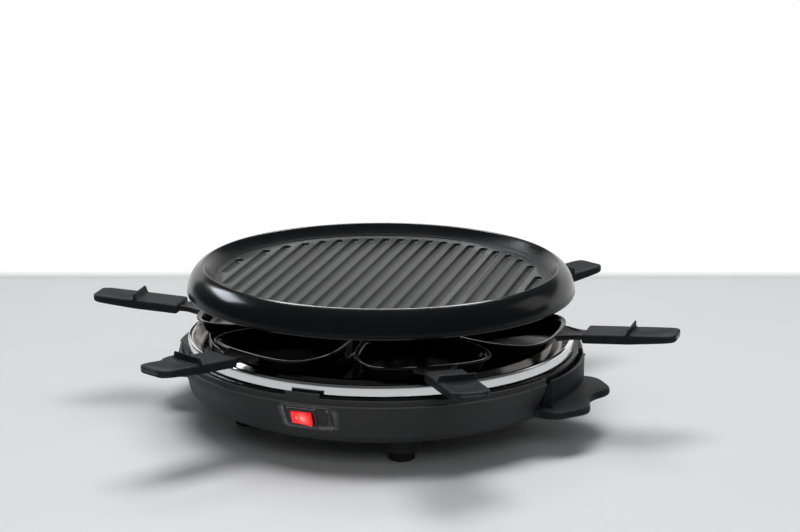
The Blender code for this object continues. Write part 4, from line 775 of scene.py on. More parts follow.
def moved(shape, matrix):
    """A bmesh moved by a matrix."""
    bmesh.ops.transform(shape, matrix=matrix, verts=shape.verts)
    return shape


def turned(profile, place, steps=SMALL_STEPS):
    """A solid turned from a (radius, height) line, set in its place."""
    return moved(lathe(profile, steps, True), place)


def raised(height, line):
    """A (radius, height) line lifted as a whole."""
    return [(radius, height + z) for radius, z in line]


def spin(degrees):
    """A turn about the grill's upright axis."""
    return Matrix.Rotation(math.radians(degrees), 4, "Z")


def circle_places(radius, first, count):
    """Places evenly round the grill's upright axis."""
    return [Matrix.Translation(polar(radius, first + 360.0 / count * index)) for index in range(count)]


def read_line(line, value, given, wanted):
    """The wanted coordinate of a line of points, where its given coordinate reaches a value."""
    for low, high in zip(line, line[1:]):
        if value <= high[given]:
            share = (value - low[given]) / max(high[given] - low[given], 1e-9)
            return low[wanted] + (high[wanted] - low[wanted]) * share
    return line[-1][wanted]


def mesh_from(name, shape):
    """A bmesh written into a new mesh, and freed."""
    mesh = bpy.data.meshes.new(name)
    shape.to_mesh(mesh)
    shape.free()
    return mesh


def shade_mesh(mesh, crease):
    """Smooth shading, but for edges that turn more than the crease angle."""
    mesh.shade_smooth()
    mesh.set_sharp_from_angle(angle=math.radians(crease))


def finish_piece(name, shape, material, body, replaced=(), crease=35.0):
    """A piece from a bmesh: faces out, smooth but for its creases, riding on its body."""
    bmesh.ops.recalc_face_normals(shape, faces=shape.faces)
    mesh = mesh_from(name, shape)
    mesh.materials.append(material)
    shade_mesh(mesh, crease)
    piece = add_object(name, mesh)
    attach(piece, body)
    if replaced:
        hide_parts(*replaced)
    return piece


def cut_piece(piece, shape, operation="DIFFERENCE", crease=35.0):
    """An exact Boolean on the piece, made into its own mesh at once."""
    bmesh.ops.recalc_face_normals(shape, faces=shape.faces)
    cutter = add_object("cutter", mesh_from("cutter", shape))
    modifier = piece.modifiers.new("cut", "BOOLEAN")
    modifier.operation = operation
    modifier.solver = "EXACT"
    modifier.object = cutter
    bpy.context.view_layer.update()
    graph = bpy.context.evaluated_depsgraph_get()
    mesh = bpy.data.meshes.new_from_object(piece.evaluated_get(graph))
    piece.modifiers.clear()
    piece.data = mesh
    shade_mesh(mesh, crease)
    bpy.data.objects.remove(cutter)


def even_shading(piece):
    """Large flat faces keep their own normals."""
    modifier = piece.modifiers.new("even_shading", "WEIGHTED_NORMAL")
    modifier.keep_sharp = True
    modifier.weight = 60


def soften_edges(piece, width):
    """Small rounded edges on a hard piece."""
    modifier = piece.modifiers.new("soft_edges", "BEVEL")
    modifier.width = width
    modifier.segments = 2
    modifier.limit_method = "ANGLE"
    modifier.angle_limit = math.radians(32.0)
    modifier.harden_normals = True


def join_shapes(shapes):
    """Several bmeshes as one."""
    whole = bmesh.new()
    for shape in shapes:
        mesh = mesh_from("joined", shape)
        whole.from_mesh(mesh)
        bpy.data.meshes.remove(mesh)
    return whole


def dress_node(name, material, edge=0.0):
    """A CAD node that keeps its shape and takes a better finish."""
    node = frame["nodes"][name]
    for slot in node.material_slots:
        slot.link = "OBJECT"
        slot.material = material
    if edge:
        soften_edges(node, edge)


# Housing


BOWL_SMOOTH = [tuple(point) for point in smooth_line(BOWL_LINE, 4)]


def bowl_radius(z):
    """Outer radius of the bowl at a height, along its smoothed line."""
    return read_line(BOWL_SMOOTH, z, 1, 0)


def away_from(angle, middle):
    """Unsigned angle between two azimuths."""
    return abs((angle - middle + 180.0) % 360.0 - 180.0)


def from_grip(angle):
    """Unsigned angle from the middle of the nearer carrying handle."""
    return min(away_from(angle, 0.0), away_from(angle, 180.0))


def housing_angles():
    """Azimuths round the housing, with close pairs at each step in it."""
    edges = [TAB_MIDDLE - TAB_HALF_ANGLE, TAB_MIDDLE + TAB_HALF_ANGLE]
    for middle in (0.0, 180.0):
        for half in (GRIP_RECESS_ANGLE, SIDE_STEP_ANGLE):
            edges += [(middle - half) % 360.0, (middle + half) % 360.0]
    angles = []
    for step in range(240):
        angle = step * 1.5
        if min(away_from(angle, edge) for edge in edges + [WINDOW_LEFT, WINDOW_RIGHT]) > 0.35:
            angles.append(angle)
    for edge in edges:
        angles += [(edge + shift) % 360.0 for shift in (-0.16, -0.05, 0.05, 0.16)]
    return sorted(angles + [WINDOW_LEFT, WINDOW_RIGHT])


def housing_rows():
    """Heights of the rows up the bowl's side, those of the window among them."""
    rows = [z for _, z in BOWL_SMOOTH if abs(z - WINDOW_LOW) > 0.0004 and abs(z - WINDOW_HIGH) > 0.0004
            and abs(z - GRIP_RECESS_Z) > 0.0007 and abs(z - SIDE_STEP_Z) > 0.0007]
    rows += [WINDOW_LOW, WINDOW_HIGH, GRIP_RECESS_Z, GRIP_RECESS_Z + 0.0003, SIDE_STEP_Z - 0.0002,
             SIDE_STEP_Z + 0.0005]
    return sorted(rows)


def housing_section(angle, rows):
    """The wall's closed section at an azimuth: up outside, over the lip, and down inside."""
    near = from_grip(angle)
    notched = near < GRIP_RECESS_ANGLE
    top = LIP_Z - NOTCH_DEPTH if notched else LIP_Z
    if away_from(angle, TAB_MIDDLE) < TAB_HALF_ANGLE:
        top = LIP_Z + TAB_RISE
    ledge = min(LEDGE_Z, top - LIP_ROUND * 2)
    squeeze = (ledge - GRIP_RECESS_Z) / (LEDGE_Z - GRIP_RECESS_Z)
    outer = []
    for z in rows:
        height = z if z <= GRIP_RECESS_Z + 0.0003 else GRIP_RECESS_Z + (z - GRIP_RECESS_Z) * squeeze
        sunk = 0.0
        if notched and z > GRIP_RECESS_Z:
            sunk = GRIP_RECESS_DEPTH
        elif near < SIDE_STEP_ANGLE and z > SIDE_STEP_Z:
            sunk = SIDE_STEP_DEPTH
        outer.append((bowl_radius(height) - sunk, height))
    edge_radius = outer[-1][0]
    foot = min(LIP_RADIUS, edge_radius - LIP_ROUND)
    inside = foot - LIP_WALL
    over = [(foot + LIP_ROUND * 0.45, ledge + LIP_ROUND * 0.25), (foot, ledge + LIP_ROUND)]
    over += arc(foot - LIP_ROUND, top - LIP_ROUND, LIP_ROUND, 0.0, 90.0, 4)
    over += [(inside + LIP_ROUND * 0.6, top), (inside + LIP_ROUND * 0.2, top - LIP_ROUND * 0.2),
             (inside, top - LIP_ROUND)]
    inner = [(radius - HOUSING_WALL - (LEDGE_UNDERCUT if index == len(outer) - 1 else 0.0), z)
             for index, (radius, z) in enumerate(outer)][::-1]
    bottom = [(COVER_OPENING, BASE_Z + 0.0028), (COVER_OPENING, BASE_Z + 0.0002), (0.1180, BASE_Z)]
    seat = BASE_Z + COVER_SEAT
    inner = [(max(radius, COVER_OPENING), seat) if z < seat else (radius, z) for radius, z in inner]
    return outer, over, inner, bottom


def make_housing():
    """The bowl-shaped outer housing with its lip, tab, handle recesses and switch window."""
    rows = housing_rows()
    angles = housing_angles()
    shape = bmesh.new()
    rings = []
    for angle in angles:
        outer, over, inner, bottom = housing_section(angle, rows)
        points = outer + over + inner + bottom
        rings.append([shape.verts.new(polar(radius, angle, z)) for radius, z in points])
    low_row = rows.index(WINDOW_LOW)
    high_row = rows.index(WINDOW_HIGH)
    inner_end = len(outer + over + inner) - 1
    inner_low = inner_end - low_row
    inner_high = inner_end - high_row
    first = angles.index(WINDOW_LEFT)
    last = angles.index(WINDOW_RIGHT)
    size = len(rings[0])
    for index, ring in enumerate(rings):
        following = rings[(index + 1) % len(rings)]
        windowed = first <= index < last
        for row in range(size):
            step = (row + 1) % size
            if windowed and (low_row <= row < high_row or inner_high <= row < inner_low):
                continue
            shape.faces.new((ring[row], ring[step], following[step], following[row]))
        if windowed:
            shape.faces.new((ring[low_row], following[low_row], following[inner_low], ring[inner_low]))
            shape.faces.new((ring[high_row], ring[inner_high], following[inner_high], following[high_row]))
    # The window's two upright sides
    for ring in (rings[first], rings[last]):
        for offset in range(high_row - low_row):
            shape.faces.new((ring[low_row + offset], ring[low_row + offset + 1],
                             ring[inner_low - offset - 1], ring[inner_low - offset]))
    bmesh.ops.remove_doubles(shape, verts=shape.verts, dist=SAME_POINT)
    finish_piece("housing", shape, HOUSING_BLACK, "base", ("base_housing",), 28.0)


def make_underside():
    """The cover under the housing with its rim, foot bosses, terminal pillar and vents."""
    profile = raised(BASE_Z, (
        (0.1158, 0.0025), (0.1170, 0.0025), (0.1175, 0.0020), (0.1175, 0.0005), (0.1172, 0.0001),
        (0.1168, 0.0), (0.1120, 0.0), (0.1116, 0.0004), (0.1100, 0.0004), (0.1096, 0.0),
    ))
    cover = finish_piece("underside_cover", lathe(profile, 192, True), HOUSING_BLACK, "base",
                         ("base_plate",))
    boss = raised(BASE_Z, (
        (0.0105, 0.0012), (0.0138, 0.0012), (0.0132, -0.0004), (0.0124, -0.0014), (0.0121, -0.0030),
        (0.0119, -0.0104), (0.0116, -0.0109), (0.0112, -0.0110), (0.0103, -0.0110), (0.0101, -0.0108),
        (0.0101, -0.0092),
    ))
    bosses = [turned(boss, place) for place in circle_places(FOOT_CIRCLE, FOOT_AZIMUTH, 4)]
    cut_piece(cover, join_shapes(bosses), "UNION")
    pillar = raised(BASE_Z, ((0.0172, 0.0015), (0.0168, 0.0200), (0.0164, 0.0205)))
    under_legs = Matrix.Translation(polar(ELEMENT_LEG_DISTANCE, ELEMENT_AZIMUTH))
    cut_piece(cover, turned(pillar, under_legs), "UNION")
    outline = [(VENT_CIRCLE + x, y) for x, y in rounded_rectangle(0.0120, 0.0020, 0.0019, 5)]
    vents = []
    for index in range(VENT_COUNT):
        vent = prism(outline, (BASE_Z - 0.002, BASE_Z + 0.005))
        vents.append(moved(vent, spin(360.0 * (index + 0.5) / VENT_COUNT)))
    cut_piece(cover, join_shapes(vents))
    even_shading(cover)


def make_turned_set(name, node, line, places, steps, material):
    """Equal turned pieces of the base, one at each place."""
    pieces = []
    for number, place in enumerate(places, 1):
        pieces.append(finish_piece(f"{name}_{number}", turned(line, place, steps), material, "base",
                                   (f"{node}_{number}",)))
    return pieces


def make_feet():
    """Four soft pads with a ringed sole."""
    line = (
        (0.0060, 0.0090), (0.0092, 0.0090), (0.0098, 0.0084), (0.0098, 0.0016), (0.0095, 0.0008),
        (0.0088, 0.0002), (0.0080, 0.0), (0.0070, 0.0), (0.0066, 0.0004), (0.0060, 0.0004), (0.0056, 0.0),
    )
    places = circle_places(FOOT_CIRCLE, FOOT_AZIMUTH, 4)
    make_turned_set("foot", "foot_pad", line, places, 48, RUBBER)


def make_base_screws():
    """Pan-head screws with a cross recess."""
    line = raised(BASE_Z, (
        (0.0015, 0.0042), (0.0015, -0.0003), (0.0032, -0.0003), (0.0032, -0.0010), (0.0029, -0.0016),
        (0.0022, -0.0020), (0.0012, -0.0021),
    ))
    places = circle_places(SCREW_CIRCLE, SCREW_AZIMUTH, 4)
    screws = make_turned_set("screw", "base_screw", line, places, 32, ZINC_STEEL)
    slit = ((-0.0019, -0.0003), (0.0019, -0.0003), (0.0019, 0.0003), (-0.0019, 0.0003))
    for screw, place in zip(screws, places):
        for turn in (20.0, 110.0):
            cut_piece(screw, moved(prism(slit, (BASE_Z - 0.0024, BASE_Z - 0.0009)), place @ spin(turn)))


# Carrying handles


GRIP_LINE = [tuple(point) for point in smooth_line(GRIP_SHARES, 4)]


def grip_reach(angle):
    """How far the finger flange stands out at an angle from the handle's middle."""
    return GRIP_REACH * read_line(GRIP_LINE, abs(angle) / GRIP_HALF_ANGLE, 0, 1)


def grip_section(angle):
    """The handle's closed section: under the flange, round its edge, up the panel and down behind."""
    panel = abs(angle) < GRIP_PANEL_ANGLE
    reach = max(grip_reach(angle), 0.0016)
    outer = GRIP_FACE_RADIUS - FIT_GAP + reach
    low, high = GRIP_LOW_Z, GRIP_HIGH_Z
    back_low = bowl_radius(low) + FIT_GAP
    back = bowl_radius(high) + FIT_GAP
    face = GRIP_FACE_RADIUS if panel else back + 0.0005
    top = GRIP_TOP_Z if panel else high + 0.0013
    edge = min(GRIP_EDGE, reach * 0.3)
    sweep = min(GRIP_SWEEP, max(outer - edge - face, 0.0004) * 0.8)
    rise = GRIP_PANEL_RISE if panel else 0.0006
    sink = GRIP_RECESS_DEPTH - FIT_GAP
    line = [(back_low, low + 0.0006), (back_low + 0.0008, low)]
    # Round the flange's edge, then up its hollow sweep into the panel
    for step in range(7):
        turn = math.radians(-90.0 + 180.0 * step / 6)
        bulge = math.copysign(abs(math.sin(turn)) ** 0.8, math.sin(turn))
        line.append((outer - edge + edge * math.cos(turn), (low + high) / 2 + (high - low) / 2 * bulge))
    for step in range(6):
        turn = math.radians(90.0 * step / 5)
        line.append((face + sweep * (1 - math.sin(turn)), high + rise * (1 - math.cos(turn))))
    upper = max(top - 0.0012, high + rise + 0.0002) if panel else top
    middle = (high + rise + upper) / 2
    blade = 0.0008 if panel else 0.0
    line += [(face, middle), (face + blade * 0.3, upper), (face + blade, top - 0.0004 if panel else top),
             (face + blade * 0.8, top + 0.0001)]
    if panel:
        behind = LEDGE_Z - 0.0006
        rear = face - GRIP_WALL
        line += [(rear + 0.0004, top), (rear, top - 0.0003),
                 (min(bowl_radius(behind) - sink, rear), behind)]
        for share in (0.66, 0.33, 0.0):
            z = high + 0.0006 + (behind - high - 0.0006) * share
            line.append((bowl_radius(z) - sink, z))
    else:
        line += [(back + 0.0004, top), (back + 0.0003, top - 0.0002), (back + 0.0002, top - 0.0003)]
        for share in (0.66, 0.33, 0.0):
            line.append((back + 0.0001, high + 0.0004 + 0.0005 * share))
    line.append((back, high + 0.0003))
    return line


def make_grips():
    """The two moulded carrying handles, each an upright panel over a wavy finger flange."""
    edge = GRIP_PANEL_ANGLE
    angles = [GRIP_HALF_ANGLE * step / 40 for step in range(-40, 41)]
    angles = [angle for angle in angles if abs(abs(angle) - edge) > 0.3]
    angles += [side * (edge + shift) for side in (-1, 1) for shift in (-0.26, -0.10, -0.02, 0.02, 0.12)]
    sections = []
    for angle in sorted(angles):
        row = grip_section(angle)
        inset = edge - abs(angle)
        if 0.0 < inset < 0.2:
            pull = 0.0006 * (1.0 - inset / 0.2) ** 2
            row = [(radius - pull if z > GRIP_HIGH_Z + 0.003 else radius,
                    z - pull if z > GRIP_TOP_Z - 0.001 else z) for radius, z in row]
        sections.append([polar(radius, angle, z) for radius, z in row])
    for side, turn in (("right", 0.0), ("left", 180.0)):
        even_shading(finish_piece(f"grip_{side}", moved(skin(sections), spin(turn)), HANDLE_BLACK, "base",
                                  (f"carry_handle_{side}",), 40.0))


# Switch


def seat_matrix():
    """The switch's own frame: X across, Y into the wall, Z up the slope."""
    return Matrix.Translation(SWITCH_SEAT) @ Matrix.Rotation(SWITCH_TILT, 4, "X")


def make_switch_panel():
    """The curved insert round the switch, with its opening, an upright groove and a rib beside it."""
    rows = []
    low, high = WINDOW_LOW + FIT_GAP, WINDOW_HIGH - FIT_GAP
    margin = math.degrees(FIT_GAP / 2 / BOWL_LINE[-1][0]) + 0.05
    start, end = WINDOW_LEFT + margin, WINDOW_RIGHT - margin
    for step in range(31):
        angle = start + (end - start) * step / 30
        section = []
        for share in (0.0, 0.02, 0.25, 0.5, 0.75, 0.98, 1.0):
            z = low + (high - low) * share
            edge = 0.0002 if share in (0.0, 1.0) else 0.0
            section.append(polar(bowl_radius(z) + 0.0004 - edge, angle, z))
        for share in (1.0, 0.5, 0.0):
            z = low + (high - low) * share
            section.append(polar(bowl_radius(z) - 0.0030, angle, z))
        rows.append(section)
    panel = finish_piece("switch_surround", skin(rows), HOUSING_BLACK, "base",
                         ("switch_panel",))
    opening = rounded_rectangle(BEZEL_HALF_WIDTH + FIT_GAP, BEZEL_HALF_HEIGHT + FIT_GAP, 0.0012, 5)
    groove = rounded_rectangle(0.00055, 0.0071, 0.0005, 4)
    rib = rounded_rectangle(0.00035, 0.0071, 0.0003, 3)
    for outline, depths, turn, operation in (
            (opening, (-0.004, 0.007), 0.0, "DIFFERENCE"), (groove, (-0.004, 0.0007), 7.3, "DIFFERENCE"),
            (rib, (-0.0003, 0.0010), 8.15, "UNION")):
        cut_piece(panel, moved(prism(outline, depths, False), spin(turn) @ seat_matrix()), operation)
    soften_edges(panel, 0.00018)
    even_shading(panel)


def make_switch_case():
    """The switch's case with its rounded bezel and the well that the rocker sits in."""
    case = (0.0095, 0.0062)
    bezel = (BEZEL_HALF_WIDTH, BEZEL_HALF_HEIGHT)
    well = (WELL_HALF_WIDTH, WELL_HALF_HEIGHT)
    front = -0.0007
    sections = []
    # Depth behind the front, outline, how much wider than it, corner radius
    for depth, (half_x, half_z), wider, radius in (
            (0.0184, case, 0.0, 0.0006), (0.0024, case, 0.0, 0.0006), (0.0024, bezel, 0.0, 0.0010),
            (0.0007, bezel, 0.0, 0.0010), (0.0003, bezel, -0.0001, 0.0010), (0.0001, bezel, -0.0004, 0.0009),
            (0.0, bezel, -0.0008, 0.0008), (0.0, well, 0.0004, 0.0007), (0.0002, well, 0.0001, 0.0006),
            (0.0006, well, 0.0, 0.0005), (0.0066, well, 0.0, 0.0005)):
        outline = rounded_rectangle(half_x + wider, half_z + wider, radius, 5)
        sections.append([(x, front + depth, z) for x, z in outline])
    finish_piece("switch_case", moved(skin(sections), seat_matrix()), SWITCH_BLACK, "base",
                 ("switch_body",))


def rocker_front(x):
    """How far the rocker's dished front stands from its pin at a place across it."""
    share = abs(x) / ROCKER_HALF_WIDTH
    return -(ROCKER_REACH + ROCKER_DISH * share ** 1.6)


def rocker_matrix():
    """The rocker's own frame about its pin, tipped to its pressed side."""
    tip = Matrix.Rotation(ROCKER_TILT, 4, "Z")
    return seat_matrix() @ Matrix.Translation((0.0, ROCKER_PIN_DEPTH, 0.0)) @ tip


def make_rocker():
    """The red rocker, dished across its front, with a bar and a ring for on and off."""
    sections = []
    for share_z, inset in ((-1.0, 0.0005), (-0.985, 0.0002), (-0.95, 0.0), (-0.5, 0.0), (0.0, 0.0),
                           (0.5, 0.0), (0.95, 0.0), (0.985, 0.0002), (1.0, 0.0005)):
        points = []
        for step in range(17):
            share = -1.0 + 2.0 * step / 16
            x = (ROCKER_HALF_WIDTH - inset) * share
            points.append((x, rocker_front(x) + inset + (0.0003 if abs(share) == 1.0 else 0.0)))
        points += [(ROCKER_HALF_WIDTH - inset, -0.0046), (ROCKER_HALF_WIDTH - 0.0009, -0.0016),
                   (0.0, 0.0009), (-ROCKER_HALF_WIDTH + 0.0009, -0.0016),
                   (-ROCKER_HALF_WIDTH + inset, -0.0046)]
        sections.append([(x, y, share_z * ROCKER_HALF_HEIGHT) for x, y in points])
    finish_piece("rocker", moved(skin(sections), rocker_matrix()), RED_LENS, "rocker",
                 ("switch_rocker",), 40.0)
    corners = ((-0.00452, 0.0013), (-0.00408, 0.0013), (-0.00408, -0.0013), (-0.00452, -0.0013))
    bar = skin([[(x, rocker_front(x) + depth, z) for x, z in corners]
                for depth in (MARK_HEIGHT, -MARK_HEIGHT)])
    finish_piece("rocker_mark_on", moved(bar, rocker_matrix()), MARK_PAINT, "rocker")
    rings = []
    for step in range(32):
        turn = math.radians(360.0 * step / 32)
        section = []
        for radius, depth in ((0.00115, MARK_HEIGHT), (0.00115, -MARK_HEIGHT),
                              (0.00165, -MARK_HEIGHT), (0.00165, MARK_HEIGHT)):
            x = 0.0006 + radius * math.cos(turn)
            section.append((x, rocker_front(x) + depth, radius * math.sin(turn)))
        rings.append(section)
    ring = moved(skin(rings, True, True), rocker_matrix())
    finish_piece("rocker_mark_off", ring, MARK_PAINT, "rocker")


# Ring, reflector and what stands on it


def make_ring():
    """The dark ring between the lip and the bright dish, with two fine lines turned in its top."""
    line = raised(RING_TOP_Z, (
        (0.1260, -0.0016), (0.1260, 0.0), (0.1500, 0.0), (0.1506, 0.0), (0.1508, -0.0003),
        (0.1511, -0.0003), (0.1513, 0.0), (0.1520, 0.0), (0.1522, -0.0003), (0.1524, -0.0003),
        (0.1526, 0.0), (0.1530, 0.0), (0.1533, -0.0001), (0.1534, -0.0004), (0.1534, -0.0051),
        (0.1516, -0.0051), (0.1516, -0.0016),
    ))
    finish_piece("ring", lathe(line), RING_BLACK, "base", ("support_ring",))


def make_reflector():
    """The dish: plateau, sunk groove, shelf, rolled rim and bright outer band, with holes for the element."""
    top = (
        (0.0150, 0.0), (0.1312, 0.0), (0.1322, -0.0001), (0.1332, -0.0009), (0.1370, -0.0062),
        (0.1377, -0.0073), (0.1384, -0.0077), (0.1400, -0.0077), (0.1409, -0.0074), (0.1432, -0.0047),
        (0.1441, -0.0040), (0.1447, -0.0030), (0.1455, -0.0014), (0.1463, -0.0005), (0.1471, -0.0001),
        (0.1479, 0.0), (0.1486, -0.0002), (0.1491, -0.0006), (0.1494, -0.0014), (0.1496, -0.0030),
        (0.1498, -0.0076), (0.1498, -0.0080), (0.1497, -0.0081),
    )
    under = (
        (0.1490, -0.0081), (0.1488, -0.0079), (0.1486, -0.0036), (0.1483, -0.0020), (0.1478, -0.0012),
        (0.1470, -0.0010), (0.1461, -0.0015), (0.1454, -0.0026), (0.1446, -0.0043), (0.1424, -0.0075),
        (0.1408, -0.0087), (0.1380, -0.0087), (0.1367, -0.0080), (0.1326, -0.0018), (0.1312, -0.0010),
        (0.0150, -0.0010),
    )
    dish = finish_piece("reflector_dish", lathe(raised(RIM_Z, top + under), ROUND_STEPS, True), MIRROR_STEEL,
                        "base", ("reflector",))
    hole = raised(RIM_Z, ((ELEMENT_HOLE_RADIUS, -0.003), (ELEMENT_HOLE_RADIUS, 0.003)))
    leg_places = [Matrix.Translation((ELEMENT_LEG_DISTANCE, side * ELEMENT_LEG_SPREAD, 0.0))
                  for side in (1, -1)]
    cut_piece(dish, join_shapes([turned(hole, spin(ELEMENT_AZIMUTH) @ place) for place in leg_places]))
    even_shading(dish)


def make_dividers(azimuths):
    """Low pressed ridges on the dish that keep neighbouring pans apart."""
    sections = []
    for step in range(25):
        share = step / 24
        radius = RIDGE_START + RIDGE_LENGTH * share
        swell = max(1.0 - abs(share * 2 - 1.0) ** 4, 0.0) ** 0.5
        half = 0.0006 + RIDGE_HALF_WIDTH * swell
        rise = 0.0003 + RIDGE_HEIGHT * swell
        points = [(-half, RIM_Z - RIDGE_SINK)]
        for turn in range(0, 181, 20):
            angle = math.radians(180.0 - turn)
            points.append((half * math.cos(angle), RIM_Z + rise * math.sin(angle) ** 0.9))
        points.append((half, RIM_Z - RIDGE_SINK))
        sections.append([(radius, y, z) for y, z in points])
    following = azimuths[1:] + [azimuths[0] + 360.0]
    for number, (before, after) in enumerate(zip(azimuths, following), 1):
        ridge = moved(skin(sections), spin((before + after) / 2))
        finish_piece(f"dish_ridge_{number}", ridge, MIRROR_STEEL, "base", (), 60.0)


def make_rivets():
    """Round-headed rivets that hold the supports to the dish."""
    head = ((0.0006, 0.0013), (0.0014, 0.0012), (0.0022, 0.0008), (0.0028, 0.0003), (0.0030, 0.0),
            (0.0014, 0.0))
    tail = ((0.0014, -0.0013), (0.0026, -0.0013), (0.0022, -0.0020), (0.0013, -0.0025))
    line = raised(RIM_Z + 0.0021, head) + raised(RIM_Z, tail)
    places = circle_places(RIVET_CIRCLE, RIVET_AZIMUTH, 3)
    make_turned_set("rivet", "support_rivet", line, places, 32, ZINC_STEEL)


def element_path():
    """The heating element's centre line: up one leg, round the ring and down the other."""
    spread, near, bend = ELEMENT_LEG_SPREAD, ELEMENT_LEG_DISTANCE, ELEMENT_BEND
    open_angle = math.degrees(math.asin(spread / ELEMENT_RING_RADIUS))
    bend_angle = math.degrees(bend / ELEMENT_RING_RADIUS)
    meet = ELEMENT_RING_RADIUS * math.cos(math.radians(open_angle))
    leg = [Vector((near, spread, z)) for z in (ELEMENT_START_Z, (ELEMENT_START_Z + ELEMENT_Z) / 2)]
    for step in range(11):
        turn = math.radians(9.0 * step)
        leg.append(Vector((near + bend * (1 - math.cos(turn)), spread,
                           ELEMENT_Z - bend * (1 - math.sin(turn)))))
    corner = Vector((meet, spread, ELEMENT_Z))
    before = Vector((meet - bend, spread, ELEMENT_Z))
    after = polar(ELEMENT_RING_RADIUS, open_angle + bend_angle, ELEMENT_Z)
    for step in range(11):
        share = step / 10
        leg.append(before * (1 - share) ** 2 + corner * 2 * share * (1 - share) + after * share ** 2)
    first = open_angle + bend_angle
    far = 360.0 - first
    ring = [polar(ELEMENT_RING_RADIUS, first + (far - first) * step / 110, ELEMENT_Z)
            for step in range(1, 110)]
    back = [Vector((point.x, -point.y, point.z)) for point in reversed(leg)]
    return leg + ring + back


def make_element():
    """The tubular heating element, swept along its centre line."""
    path = [spin(ELEMENT_AZIMUTH) @ point for point in element_path()]
    sections = []
    side = None
    for index, point in enumerate(path):
        way = (path[min(index + 1, len(path) - 1)] - path[max(index - 1, 0)]).normalized()
        if side is None:
            side = way.orthogonal().normalized()
        side = (side - way * side.dot(way)).normalized()
        other = way.cross(side)
        section = []
        for step in range(20):
            turn = math.tau * step / 20
            section.append(point + (side * math.cos(turn) + other * math.sin(turn)) * ELEMENT_RADIUS)
        sections.append(section)
    finish_piece("element_tube", skin(sections), ELEMENT_STEEL, "base", ("heating_element",))


def make_gland():
    """The ribbed rubber bush in the back wall."""
    line = (
        (0.0036, -0.0080), (0.0062, -0.0080), (0.0062, 0.0030), (0.0058, 0.0034), (0.0058, 0.0040),
        (0.0062, 0.0044), (0.0062, 0.0046), (0.0074, 0.0046), (0.0078, 0.0050), (0.0078, 0.0064),
        (0.0075, 0.0069), (0.0069, 0.0071), (0.0044, 0.0071), (0.0038, 0.0068), (0.0036, 0.0062),
    )
    z = BASE_Z + GLAND_RISE
    outward = spin(90.0) @ Matrix.Rotation(math.radians(90.0), 4, "Y")
    place = Matrix.Translation(polar(bowl_radius(z), 90.0, z)) @ outward
    finish_piece("gland", moved(lathe(line, SMALL_STEPS), place), RUBBER, "base", ("cord_gland",))


# Grill plate


def groove_cutter(offset):
    """One long trough with rounded ends and a rounded floor."""
    half = math.sqrt(RIB_FIELD_RADIUS ** 2 - offset ** 2) - RIB_ENDS_INSET
    sections = []
    for radius, z in GROOVE_LINE:
        ends = arc(half, offset, radius, -90.0, 90.0, 12) + arc(-half, offset, radius, 90.0, 270.0, 12)
        sections.append([(x, y, GRILL_FLOOR_Z + z) for x, y in ends])
    return skin(sections)


def make_grill_plate():
    """The lift-off cast plate with its ribbed cooking floor."""
    crest = smooth_line(PLATE_TOP_LINE[4:], 2)
    line = list(PLATE_TOP_LINE[:4]) + [tuple(point) for point in crest]
    plate = finish_piece("plate", lathe(line + list(PLATE_UNDER_LINE), ROUND_STEPS, True), PLATE_BLACK,
                         "plate", ("grill_plate",), 30.0)
    count = int((RIB_FIELD_RADIUS - RIB_SIDES_INSET) / RIB_PITCH)
    troughs = [moved(groove_cutter(index * RIB_PITCH), spin(RIB_AZIMUTH))
               for index in range(-count, count + 1)]
    cut_piece(plate, join_shapes(troughs), crease=42.0)
    even_shading(plate)


# Pans


def pan_line():
    """The pan's outline as a flowing closed line; X runs out along the pan."""
    length = PAN_OUTER_END - PAN_INNER_END
    half = [(PAN_INNER_END + length * along, PAN_HALF_WIDTH * across) for along, across in PAN_OUTLINE]
    return smooth_line(half + [(x, -y) for x, y in reversed(half)], 5, True)


def inset_line(line, inset):
    """A closed line drawn inward."""
    size = len(line)
    made = []
    for index, point in enumerate(line):
        way = (line[(index + 1) % size] - line[index - 1]).normalized()
        made.append((point.x + way.y * inset, point.y - way.x * inset))
    return made


def pan_sections():
    """A stamped pan with a rolled rim, in sections from under its floor to its inside."""
    line = pan_line()
    return [[(x, y, PAN_Z + z) for x, y in inset_line(line, inset)] for inset, z in PAN_SECTION]


def shank_section(along, half, leg, top, valley):
    """The folded shank's section: two raised rails, a sunk middle and two legs."""
    sheet = SHANK_SHEET
    inner = half - sheet
    over = [
        (-half, top - leg), (-half, top - sheet * 0.6), (-half + 0.0002, top - sheet * 0.2),
        (-half + 0.0006, top), (-inner + 0.0004, top), (-inner + 0.0012, top - valley * 0.55),
        (-inner + 0.0022, top - valley),
    ]
    under = [(inner, top - leg), (inner, top - valley - sheet)]
    whole = over + [(0.0, top - valley)] + [(-y, z) for y, z in reversed(over)]
    whole += under + [(0.0, top - valley - sheet)] + [(-y, z) for y, z in reversed(under)]
    return [(along, y, z) for y, z in whole]


def shank_sections():
    """The folded steel shank between a pan and its handle, in sections along it."""
    top = PAN_RIM_Z + SHANK_RISE
    sections = []
    # Distance along, share of the half width, share of the legs' height, how far the middle is sunk
    for along, share, leg_share, valley in (
            (0.0, 1.00, 0.7, 0.0), (0.0008, 1.00, 1.0, 0.0001), (0.0030, 0.93, 1.0, 0.0005),
            (0.0060, 0.80, 1.0, 0.0008), (0.0090, 0.68, 1.0, 0.0009), (0.0120, 0.58, 1.0, 0.0009),
            (0.0150, 0.53, 1.0, 0.0009), (0.0186, 0.515, 1.0, 0.0009)):
        sections.append(shank_section(SHANK_START + along, SHANK_ROOT_HALF_WIDTH * share,
                                      SHANK_LEG * leg_share, top, valley))
    for along in (SHANK_TONGUE_START, SHANK_END):
        sections.append(shank_section(along, SHANK_TONGUE_HALF_WIDTH, SHANK_TONGUE_LEG, top, 0.0002))
    return sections


